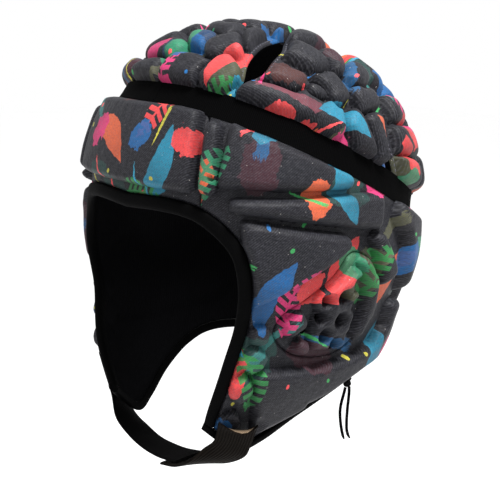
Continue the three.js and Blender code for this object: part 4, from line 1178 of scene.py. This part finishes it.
def make_band(finishes):
    """Brow, side, ear and back panels."""
    face = moved_line(FACE_EDGE, GAP)
    neck = moved_line(NECK_EDGE, NECK_BINDING_WIDTH + GAP)
    brow_x, back_x = BROW_SEAM * ALONG_ANGLE, BACK_SEAM * ALONG_ANGLE
    half_gap = GAP / 2

    brow_end = brow_x - half_gap
    brow_foot, _ = cut_at_x(face, brow_end)
    brow_foot[0, 0] = 0
    hem = hem_line(brow_end, -brow_end)
    outline = joined(flipped(brow_foot), brow_foot[1:],
                     upright(brow_end, brow_foot[-1, 1], hem[0, 1])[1:-1], hem,
                     upright(-brow_end, hem[-1, 1], brow_foot[-1, 1])[1:-1])
    brow = cloth_shell("brow_padding", [outline], band_point, band_relief, INNER_FACE,
                       finishes["brow"], CLOTH_STEP)
    stands_for(brow, ["brow_panel"])

    _, side_face = cut_at_x(face, brow_x + half_gap)
    i, j, tip = crossing(side_face, neck)
    side_neck, _ = cut_at_x(np.vstack([tip, neck[j + 1:]]), back_x - half_gap)
    hem = hem_line(back_x - half_gap, brow_x + half_gap)
    outline = joined(side_face[:i + 1], side_neck,
                     upright(back_x - half_gap, side_neck[-1, 1], hem[0, 1])[1:-1], hem,
                     upright(brow_x + half_gap, hem[-1, 1], side_face[0, 1])[1:-1])
    ear_cut = moved_line(EAR_BORDER, -half_gap, closed=True)
    ear_edge = moved_line(EAR_BORDER, half_gap, closed=True)
    turns = np.linspace(0, 2 * math.pi, EAR_HOLE_SIDES, endpoint=False)
    ring = np.stack([np.cos(turns), np.sin(turns)], axis=-1) * EAR_HOLE / 2
    holes = [place + ring for place in band_places(EAR_HOLES)]
    for side in ("left", "right"):
        turned = (lambda line: line) if side == "left" else flipped
        panel = cloth_shell(f"side_padding_{side}", [turned(outline), turned(ear_cut)], band_point,
                            band_relief, INNER_FACE, finishes[side], CLOTH_STEP)
        stands_for(panel, [f"side_panel_{side}"])
        ear = cloth_shell(f"ear_padding_{side}", [turned(ear_edge)] + [turned(h) for h in holes],
                          band_point, ear_relief, INNER_FACE, finishes[side], CLOTH_STEP)
        stands_for(ear, [f"ear_pad_{side}"])

    _, back_foot = cut_at_x(neck, back_x + half_gap)
    back_foot[-1, 0] = HALF_TURN
    over = flipped(back_foot, HALF_TURN)
    far_x = 2 * HALF_TURN - back_x - half_gap
    hem = hem_line(far_x, back_x + half_gap)
    outline = joined(back_foot, over[1:], upright(far_x, over[-1, 1], hem[0, 1])[1:-1], hem,
                     upright(back_x + half_gap, hem[-1, 1], back_foot[0, 1])[1:-1])
    back = cloth_shell("back_padding", [outline], band_point, band_relief, INNER_FACE,
                       finishes["back"], CLOTH_STEP)
    stands_for(back, ["back_panel"])


# Crown


def within_hem(line, headings, reaches):
    """The part of a line inside a hem, and the headings at which it crosses the hem."""
    angle = np.arctan2(line[:, 0], line[:, 1])
    left = np.hypot(line[:, 0], line[:, 1]) - np.interp(angle, headings, reaches)
    inner = np.flatnonzero(left < 0)
    first, last = inner[0], inner[-1]
    share = left[first - 1] / (left[first - 1] - left[first])
    start = line[first - 1] + share * (line[first] - line[first - 1])
    share = left[last] / (left[last] - left[last + 1])
    end = line[last] + share * (line[last + 1] - line[last])
    part = np.vstack([start, line[first:last + 1], end])
    return part, math.atan2(*start), math.atan2(*end)


# About how many millimetres of hem lie in a radian of heading
HEM_REACH = 115


def hem_arc(hem, offset, start, end):
    """The hem from one heading to another."""
    count = max(3, int(abs(end - start) * HEM_REACH / EDGE_STEP))
    return crown_hem_loop(hem, offset, np.linspace(start, end, count))


# How far the print is moved on the crown's side panels, in millimetres
CROWN_PRINT_SHIFT = (41, 17)


def make_crown(finishes):
    """Middle, left and right panels of the crown."""
    headings = np.linspace(-math.pi, math.pi, 361)
    reaches = np.hypot(*crown_hem_loop(CROWN_HEM, SEAM_FACE, headings).T)
    middle, front, back = within_hem(moved_line(MIDDLE_BORDER, GAP / 2), headings, reaches)
    outline = joined(middle, hem_arc(CROWN_HEM, SEAM_FACE, back, -back)[1:-1], flipped(middle),
                     hem_arc(CROWN_HEM, SEAM_FACE, 2 * math.pi - front, front)[1:-1])
    panel = cloth_shell("crown_padding_middle", [outline], crown_point, crown_relief, INNER_FACE,
                        finishes["crown"], CLOTH_STEP)
    stands_for(panel, ["crown_middle"])
    side, front, back = within_hem(moved_line(SIDE_BORDER, -GAP / 2), headings, reaches)
    outline = joined(side, hem_arc(CROWN_HEM, SEAM_FACE, back, front)[1:-1])
    for name, turned in (("left", outline), ("right", flipped(outline))):
        panel = cloth_shell(f"crown_padding_{name}", [turned], crown_point, crown_relief,
                            INNER_FACE, finishes["crown"], CLOTH_STEP, shift=CROWN_PRINT_SHIFT)
        stands_for(panel, [f"crown_{name}"])


# Elastic gusset: its outer face, how far it is drawn in half way up, and how far it reaches
# under the band's hem and over the crown's
GUSSET_FACE = INNER_FACE + 2
GUSSET_PULL = 0.7
GUSSET_FROM = BAND_HEM - 2.2
GUSSET_TO = CROWN_HEM - GAP + 1.2


def make_gusset(finishes):
    """Elastic band between the two hems, drawn in a little between its seams."""
    headings = np.linspace(-math.pi, math.pi, 520, endpoint=False)
    heights = np.linspace(GUSSET_FROM, GUSSET_TO, 9)
    pulls = GUSSET_PULL * np.sin(math.pi * np.linspace(0, 1, len(heights)))
    rows = [(height, GUSSET_FACE, pull) for height, pull in zip(heights, pulls)]
    rows += [(height, INNER_FACE, 0.0) for height in heights[::-1]]
    rings, cloth = [], []
    for height, offset, pull in rows:
        place = crown_hem_loop(height, offset, headings)
        rings.append(crown_point(place[:, 0], place[:, 1], offset - pull))
        cloth.append(np.stack([headings * 100, np.full(len(headings), height)], axis=-1))
    gusset = swept("elastic_gusset", np.stack(rings, axis=1), finishes["elastic"],
                   np.stack(cloth, axis=1), closed_run=True)
    faces_out(gusset)
    stands_for(gusset, ["gusset_band"])


# Linings and bindings


# How far the lining sinks between the foam's blocks, and its steps along its outline
LINING_SINK = 0.85
LINING_EDGE_STEP = PLAIN_STEP * 0.8
VENT_EDGE_STEP = 1.5


def lining_face(relief_at):
    """Inner face of a lining: it follows the foam's blocks a little."""
    def inner_at(x, y):
        full = (relief_at(x, y) - INNER_FACE - SEAM_DEPTH) / (FOAM_DEPTH - SEAM_DEPTH)
        return LINING_INNER + LINING_SINK * (1 - np.clip(full, 0, 1))

    return inner_at


def plain_outer(x, _):
    """Outer face of a lining."""
    return np.full(np.shape(x), LINING_OUTER)


def make_linings(finishes):
    """Linings behind the foam, the crown's open at its vents."""
    face = moved_line(FACE_EDGE, GAP)
    neck = moved_line(NECK_EDGE, NECK_BINDING_WIDTH + GAP)
    face[0, 0] = 0
    i, j, tip = crossing(face, neck)
    neck = np.vstack([tip, neck[j + 1:]])
    neck[-1, 0] = HALF_TURN
    half = np.vstack([face[:i + 1], neck])
    hem = hem_line(HALF_TURN, -HALF_TURN)
    outline = joined(flipped(half), half[1:], upright(HALF_TURN, neck[-1, 1], hem[0, 1])[1:-1], hem,
                     upright(-HALF_TURN, hem[-1, 1], neck[-1, 1])[1:-1])
    band = cloth_shell("band_lining_cloth", [spaced_loop(outline, LINING_EDGE_STEP)], band_point,
                       plain_outer, lining_face(band_relief), finishes["lining"], PLAIN_STEP,
                       folded=False)
    stands_for(band, ["band_lining"])

    headings = np.linspace(-math.pi, math.pi, 300, endpoint=False)
    rim = crown_hem_loop(BAND_HEM, LINING_OUTER, headings)
    loops = [spaced_loop(rim, LINING_EDGE_STEP)]
    for low, high in (FRONT_VENT, REAR_VENT):
        middle, side = [
            border[(border[:, 1] > low) & (border[:, 1] < high)]
            for border in (MIDDLE_BORDER, SIDE_BORDER)
        ]
        vent = spaced_loop(np.vstack([middle, side[::-1]]), VENT_EDGE_STEP)
        loops += [vent, flipped(vent)]
    crown = cloth_shell("crown_lining_cloth", loops, crown_point, plain_outer,
                        lining_face(crown_relief), finishes["lining"], PLAIN_STEP, folded=False)
    stands_for(crown, ["crown_lining"])


# Section of a folded tape: share of its width from the print to the free edge, and offset
TAPE_SECTION = [
    (0.00, -7.0), (0.06, -6.55), (0.20, -6.25), (0.45, -6.1), (0.70, -6.25), (0.88, -6.9),
    (0.97, -7.8), (1.00, -8.8), (0.97, -9.8), (0.88, -10.7), (0.70, -11.2), (0.40, -11.3),
    (0.00, -11.3),
]


def bound_edge(name, line, width, material):
    """Tape folded over the cloth's edge, on the right of a line as it runs."""
    aside = -aside_of(line)
    lengths = run_lengths(line)
    slack = ripple(lengths, np.zeros(len(line)), **TAPE_RIPPLE)
    rings, cloth = [], []
    for share, offset in TAPE_SECTION:
        place = line + aside * (share * width)
        rings.append(band_point(place[:, 0], place[:, 1], offset + slack))
        cloth.append(np.stack([lengths, np.full(len(line), share * width)], axis=-1))
    made = swept(name, np.stack(rings, axis=1), material, np.stack(cloth, axis=1))
    faces_out(made)
    return made


def make_bindings(finishes):
    """Bound edges round the face and along the neck."""
    raised = moved_line(NECK_EDGE, NECK_BINDING_WIDTH + GAP)
    face = FACE_EDGE.copy()
    face[0, 0] = 0
    i, _, _ = crossing(moved_line(face, -FACE_BINDING_WIDTH / 2), raised)
    half = face[:i + 1]
    whole = np.vstack([flipped(half), half[1:]])
    made = bound_edge("face_tape", whole, FACE_BINDING_WIDTH, finishes["binding"])
    stands_for(made, ["face_binding"])

    half = moved_line(NECK_EDGE, NECK_BINDING_WIDTH)
    half[-1, 0] = HALF_TURN
    whole = spaced(np.vstack([half, flipped(half, HALF_TURN)[1:]]), EDGE_STEP)
    made = bound_edge("neck_tape", whole, NECK_BINDING_WIDTH, finishes["binding"])
    stands_for(made, ["neck_binding"])


# Strap, tab and lace

# Across a strap: share of its width, and the shares of its depth that its two faces take there
STRAP_SECTION = np.array([
    (0.0, 0.40, 0.60), (0.012, 0.18, 0.82), (0.035, 0.04, 0.96), (0.07, 0.0, 1.0), (0.2, 0.0, 1.0),
    (0.35, 0.0, 1.0), (0.5, 0.0, 1.0), (0.65, 0.0, 1.0), (0.8, 0.0, 1.0), (0.93, 0.0, 1.0),
    (0.965, 0.04, 0.96), (0.988, 0.18, 0.82), (1.0, 0.40, 0.60),
])


def strap_rows(on_flap, hanging, flap_first):
    """Points across a strap at each row of its tables, in millimetres."""
    shares = STRAP_SECTION[:, 0]
    flap = []
    for front_angle, front_level, rear_angle, rear_level in on_flap:
        angle = front_angle + (rear_angle - front_angle) * shares
        level = front_level + (rear_level - front_level) * shares
        flap.append(band_point(angle * ALONG_ANGLE, level * FLAP_DROP, -STRAP_SINK))
    sizes = np.array([HALF_WIDTH, FRONT_REACH, FLAP_DROP])
    below = []
    for row in hanging:
        front, rear = np.array(row[:3]) * sizes, np.array(row[3:]) * sizes
        below.append(front + (rear - front) * shares[:, None])
    return np.array(flap + below if flap_first else below + flap)


def ribbon(name, rows, step, lift_at, material):
    """A flat strap through rows of points, with a real depth away from the head."""
    columns = [curve_through(rows[:, index], parts=40) for index in range(rows.shape[1])]
    lengths = run_lengths(columns[len(columns) // 2])
    places = np.linspace(0, lengths[-1], int(lengths[-1] / step) + 1)
    grid = np.stack([places_on(column, lengths, places) for column in columns], axis=1)
    along = np.gradient(grid, axis=0)
    across = np.gradient(grid, axis=1)
    outward = np.cross(along, -across)
    outward /= np.linalg.norm(outward, axis=-1, keepdims=True)
    shares, low, high = STRAP_SECTION.T
    lift = lift_at(places[:, None], lengths[-1], shares[None, :])
    outer = grid + outward * (high * STRAP_DEPTH + lift)[..., None]
    inner = grid + outward * (low * STRAP_DEPTH + lift)[..., None]
    rings = np.concatenate([outer, inner[:, ::-1]], axis=1)
    width = np.linalg.norm(rows[0, 0] - rows[0, -1])
    flat = np.stack(np.broadcast_arrays(shares[None, :] * width, places[:, None]), axis=-1)
    cloth = np.concatenate([flat, flat[:, ::-1]], axis=1)
    made = swept(name, rings, material, cloth, smooth_angle=60.0)
    faces_out(made)
    return made, len(grid)


def no_lift(place, _, share):
    """A strap that lies flat all along."""
    return np.zeros(np.broadcast(place, share).shape)


# Length of the tab's end that curls, and how far its middle stands away
CURL_LENGTH = 6.0
CURL_HEIGHT = 8.0


def curled_end(place, length, share):
    """The tab's cut end bows away from the flap between its corners."""
    near_end = np.clip((place - length + CURL_LENGTH) / CURL_LENGTH, 0, 1)
    return CURL_HEIGHT * near_end ** 2 * np.sin(math.pi * np.clip(share, 0, 1)) ** 1.3


def make_strap(finishes):
    """Chin strap from the right flap, and its tab on the left one."""
    rows = strap_rows(STRAP_ON_FLAP, STRAP_HANGING, True)
    strap, _ = ribbon("elastic_chin_strap", rows, EDGE_STEP, no_lift, finishes["webbing"])
    stands_for(strap, ["chin_strap"])
    rows = strap_rows(TAB_ON_FLAP, TAB_HANGING, False)
    finish = [finishes["hook_tape"], finishes["tape_back"]]
    tab, row_count = ribbon("hook_tape_tab", rows, EDGE_STEP, curled_end, finish)
    around = 2 * len(STRAP_SECTION)
    curled_from = int((row_count - 1) - CURL_LENGTH / EDGE_STEP)
    for face in tab.data.polygons:
        corners = [(index // around, index % around) for index in face.vertices]
        inner = all(corner >= len(STRAP_SECTION) for _, corner in corners)
        if inner and min(row for row, _ in corners) >= curled_from:
            face.material_index = 1
    stands_for(tab, ["strap_tab"])


# The lace's two tails under their knot, as in the frame: outward and along the edge in
# millimetres, drop as a share of LACE_TAIL
LACE_TAIL = 31.0
LACE_DIAMETER = 1.8
LACE_KNOT_HEIGHT = 6.0
LACE_ANGLE = 119.0
FRONT_TAIL = [
    (-0.6, -1.4, 0.00), (-0.9, -1.6, 0.07), (-1.3, -1.8, 0.14), (-1.7, -2.1, 0.21),
    (-2.1, -2.3, 0.28), (-2.4, -2.4, 0.35), (-2.6, -2.4, 0.42), (-2.6, -2.3, 0.49),
    (-2.5, -2.1, 0.56), (-2.3, -1.9, 0.63), (-2.0, -1.7, 0.70), (-1.6, -1.6, 0.77),
    (-1.1, -1.5, 0.84), (-0.4, -1.6, 0.91), (0.5, -1.8, 0.97),
]
REAR_TAIL = [
    (0.8, 1.4, 0.00), (0.9, 1.5, 0.07), (0.9, 1.6, 0.14), (0.8, 1.6, 0.21), (0.7, 1.6, 0.28),
    (0.6, 1.5, 0.35), (0.5, 1.4, 0.42), (0.5, 1.3, 0.49), (0.5, 1.2, 0.56), (0.5, 1.1, 0.63),
    (0.6, 1.1, 0.70), (0.7, 1.1, 0.77), (1.0, 1.2, 0.84), (1.7, 1.4, 0.91), (2.8, 1.7, 0.97),
]
# The knot is a trefoil: reach of its second wave, then its sizes along the edge, upwards and
# outwards, and its strand's radius, in millimetres
KNOT_WAVE = 1.7
KNOT_SIZES = (1.15, 0.85, 0.95)
KNOT_STRAND = 1.05
# Braid of the lace: depth as a share of its radius, strands round it, and turns along it
BRAID_DEPTH = 0.07
BRAID_STRANDS = 4
BRAID_PACE = 3.4
LACE_SIDES = 16
# A tail's last points narrow to this share of its radius
TAIL_POINTS = 4
TAIL_END = 0.55


def make_lace(finishes):
    """Knot behind the left ear and its two hanging tails."""
    low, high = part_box("lace_knot")
    knot_middle = (np.array(low) + np.array(high)) / 2 / MM + np.array([0, 0, HEAD_TOP])
    turn = math.radians(LACE_ANGLE)
    out = np.array([math.sin(turn), -math.cos(turn), 0])
    along = np.array([-out[1], out[0], 0])
    down = np.array([0, 0, -1.0])

    t = np.linspace(0, 2 * math.pi, 120, endpoint=False)
    wide, tall, deep = KNOT_SIZES
    line = (
        np.outer((np.sin(t) + KNOT_WAVE * np.sin(2 * t)) * wide, along)
        + np.outer((np.cos(t) - KNOT_WAVE * np.cos(2 * t)) * tall, -down)
        + np.outer(-np.sin(3 * t) * deep, out)
    )
    knot = corded("lace_bow_knot", knot_middle + line, KNOT_STRAND, finishes["lace"], closed=True)
    stands_for(knot, ["lace_knot"])

    top = knot_middle + down * (LACE_KNOT_HEIGHT / 2 + GAP)
    for name, rows in (("front", FRONT_TAIL), ("rear", REAR_TAIL)):
        route = np.array([top + out * o + along * a + down * d * LACE_TAIL for o, a, d in rows])
        path = spaced(curve_through(route), 0.6)
        last = len(path) - 1
        taper = np.interp(np.arange(len(path)), [0, last - TAIL_POINTS, last], [1, 1, TAIL_END])
        tail = corded(f"lace_strand_{name}", path, LACE_DIAMETER / 2, finishes["lace"],
                      widths=taper)
        stands_for(tail, [f"lace_tail_{name}"])


def corded(name, path, radius, material, closed=False, widths=None):
    """Round lace along a path, its braid raised a little."""
    if closed:
        run = np.roll(path, -1, axis=0) - np.roll(path, 1, axis=0)
    else:
        run = np.gradient(path, axis=0)
    run /= np.linalg.norm(run, axis=1, keepdims=True)
    # A first direction across the lace, from one that it doesn't run along
    side = np.cross(run[0], [0.3, 0.2, 0.93])
    sides = []
    for way in run:
        side = side - way * np.dot(side, way)
        side = side / np.linalg.norm(side)
        sides.append(side)
    sides = np.array(sides)
    above = np.cross(run, sides)
    turns = np.linspace(0, 2 * math.pi, LACE_SIDES, endpoint=False)
    lengths = run_lengths(path)
    grow = np.ones(len(path)) if widths is None else widths
    strands = BRAID_STRANDS * turns[None, :] + lengths[:, None] * BRAID_PACE
    braid = 1 - BRAID_DEPTH * np.cos(strands) ** 2
    reach = (radius * grow[:, None] * braid)[..., None]
    level, upright_share = np.cos(turns)[None, :, None], np.sin(turns)[None, :, None]
    rings = path[:, None] + reach * (level * sides[:, None] + upright_share * above[:, None])
    flat = np.stack(np.broadcast_arrays(turns[None, :] * radius, lengths[:, None]), axis=-1)
    made = swept(name, rings, material, flat, closed_run=closed, smooth_angle=70.0)
    faces_out(made)
    return made


# Stitches


STITCH_LENGTH = 2.0
STITCH_PITCH = 2.9
STITCH_RADIUS = 0.24
STITCH_SIDES = 6
# Along a stitch: share of its length, then its radius and its rise as shares of STITCH_RADIUS
STITCH_PROFILE = [
    (-0.5, 0.25, -0.9), (-0.38, 0.75, -0.2), (-0.15, 1.0, 0.25), (0.15, 1.0, 0.25),
    (0.38, 0.75, -0.2), (0.5, 0.25, -0.9),
]
# The row's distance from the vent's edge, the x from which it is sewn, its ends short of the vent's
# and its height over the hem
ROW_INSET = 1.9
ROW_FROM = 24
ROW_ENDS = (1, 2)
ROW_OVER_HEM = 1.5


def stitch_runs(name, runs, material):
    """Rows of short stitches along lines of points and outward directions, as one mesh."""
    points, faces, cloth = [], [], []
    turns = np.linspace(0, 2 * math.pi, STITCH_SIDES, endpoint=False)
    for line, outward in runs:
        lengths = run_lengths(line)
        count = int(lengths[-1] / STITCH_PITCH)
        for place in (np.arange(count) + 0.5) * lengths[-1] / max(count, 1):
            ends = [place - STITCH_LENGTH / 2, place + STITCH_LENGTH / 2]
            pair = places_on(line, lengths, ends)
            up = places_on(outward, lengths, place)
            up /= np.linalg.norm(up)
            run = pair[1] - pair[0]
            length = np.linalg.norm(run)
            run = run / max(length, 1e-9)
            side = np.cross(run, up)
            middle = pair.mean(axis=0)
            start = len(points)
            for along, width, rise in STITCH_PROFILE:
                centre = middle + run * along * length + up * rise * STITCH_RADIUS
                for turn in turns:
                    points.append(centre + STITCH_RADIUS * width * (
                        math.cos(turn) * side + math.sin(turn) * up))
                    cloth.append((along * length, turn))
            for ring in range(start, len(points) - STITCH_SIDES, STITCH_SIDES):
                for corner in range(STITCH_SIDES):
                    a, b = ring + corner, ring + (corner + 1) % STITCH_SIDES
                    faces.append((a, b, b + STITCH_SIDES, a + STITCH_SIDES))
            faces.append(tuple(range(start, start + STITCH_SIDES))[::-1])
            faces.append(tuple(range(len(points) - STITCH_SIDES, len(points))))
    made = new_object(name, np.array(points), faces, material, np.array(cloth), 80.0)
    faces_out(made)
    stands_for(made, [])


def on_map(line, point_at, relief_at, raise_by):
    """A line of the map on a panel's outer face, with the outward directions there."""
    offset = relief_at(line[:, 0], line[:, 1])
    surface = point_at(line[:, 0], line[:, 1], offset + raise_by)
    beyond = point_at(line[:, 0], line[:, 1], offset + raise_by + 1)
    return surface, beyond - surface


def make_stitches(finishes):
    """Top stitches along the crown's vents."""
    runs = []
    for border, sign in ((MIDDLE_BORDER, 1), (SIDE_BORDER, -1)):
        row = moved_line(border, sign * ROW_INSET)
        x, y = row.T
        for low, high in (FRONT_VENT, REAR_VENT):
            part = row[(y > low + ROW_ENDS[0]) & (y < high - ROW_ENDS[1]) & (x > ROW_FROM)]
            seam = crown_point(part[:, 0], part[:, 1], SEAM_FACE)
            part = part[over_hem(seam, CROWN_HEM) > ROW_OVER_HEM]
            for turned in (part, flipped(part)):
                runs.append(on_map(turned, crown_point, crown_relief, 0.05))
    stitch_runs("vent_stitches", runs, finishes["thread"])


# Stage


FLOOR_HALF = 6.0
FLOOR_LEVEL = -0.62
LIGHTS = [
    # name, azimuth, elevation, distance, size, power
    ("key_light", 80, 64, 1.3, 0.34, 40.0),
    ("front_light", -10, 20, 1.5, 0.8, 2.0),
    ("rim_light", 140, 35, 1.4, 0.6, 3.0),
]


def make_stage():
    """Pale floor well under the cap, and soft studio light all round."""
    mesh = bpy.data.meshes.new("studio_floor")
    corners = [(x * FLOOR_HALF, y * FLOOR_HALF, FLOOR_LEVEL)
               for x, y in ((-1, -1), (1, -1), (1, 1), (-1, 1))]
    mesh.from_pydata(corners, [], [(0, 1, 2, 3)])
    floor = bpy.data.objects.new("studio_floor", mesh)
    bpy.context.scene.collection.objects.link(floor)
    # Painted board: plain, pale and matt
    made, _, _ = new_material("pale_painted_board", "#fefefe", 0.9, 0.1)
    mesh.materials.append(made)

    world = bpy.data.worlds.new("studio_light")
    world.use_nodes = True
    world.node_tree.nodes["Background"].inputs["Color"].default_value = (1, 1, 1, 1)
    world.node_tree.nodes["Background"].inputs["Strength"].default_value = 1.0
    bpy.context.scene.world = world
    bpy.context.scene.view_settings.view_transform = "Standard"
    middle = Vector((0, 0, -HEAD_TOP * MM))
    for name, azimuth, elevation, distance, size, power in LIGHTS:
        a, e = math.radians(azimuth), math.radians(elevation)
        way = Vector((math.sin(a) * math.cos(e), -math.cos(a) * math.cos(e), math.sin(e)))
        data = bpy.data.lights.new(name, "AREA")
        data.shape, data.size, data.energy = "DISK", size, power
        lamp = bpy.data.objects.new(name, data)
        lamp.location = middle + way * distance
        lamp.rotation_mode = "QUATERNION"
        lamp.rotation_quaternion = (-way).to_track_quat("-Z", "Y")
        bpy.context.scene.collection.objects.link(lamp)


make_camera()
finishes = make_finishes()
make_lace(finishes)
make_stage()
make_band(finishes)
make_crown(finishes)
make_gusset(finishes)
make_linings(finishes)
make_bindings(finishes)
make_strap(finishes)
make_stitches(finishes)
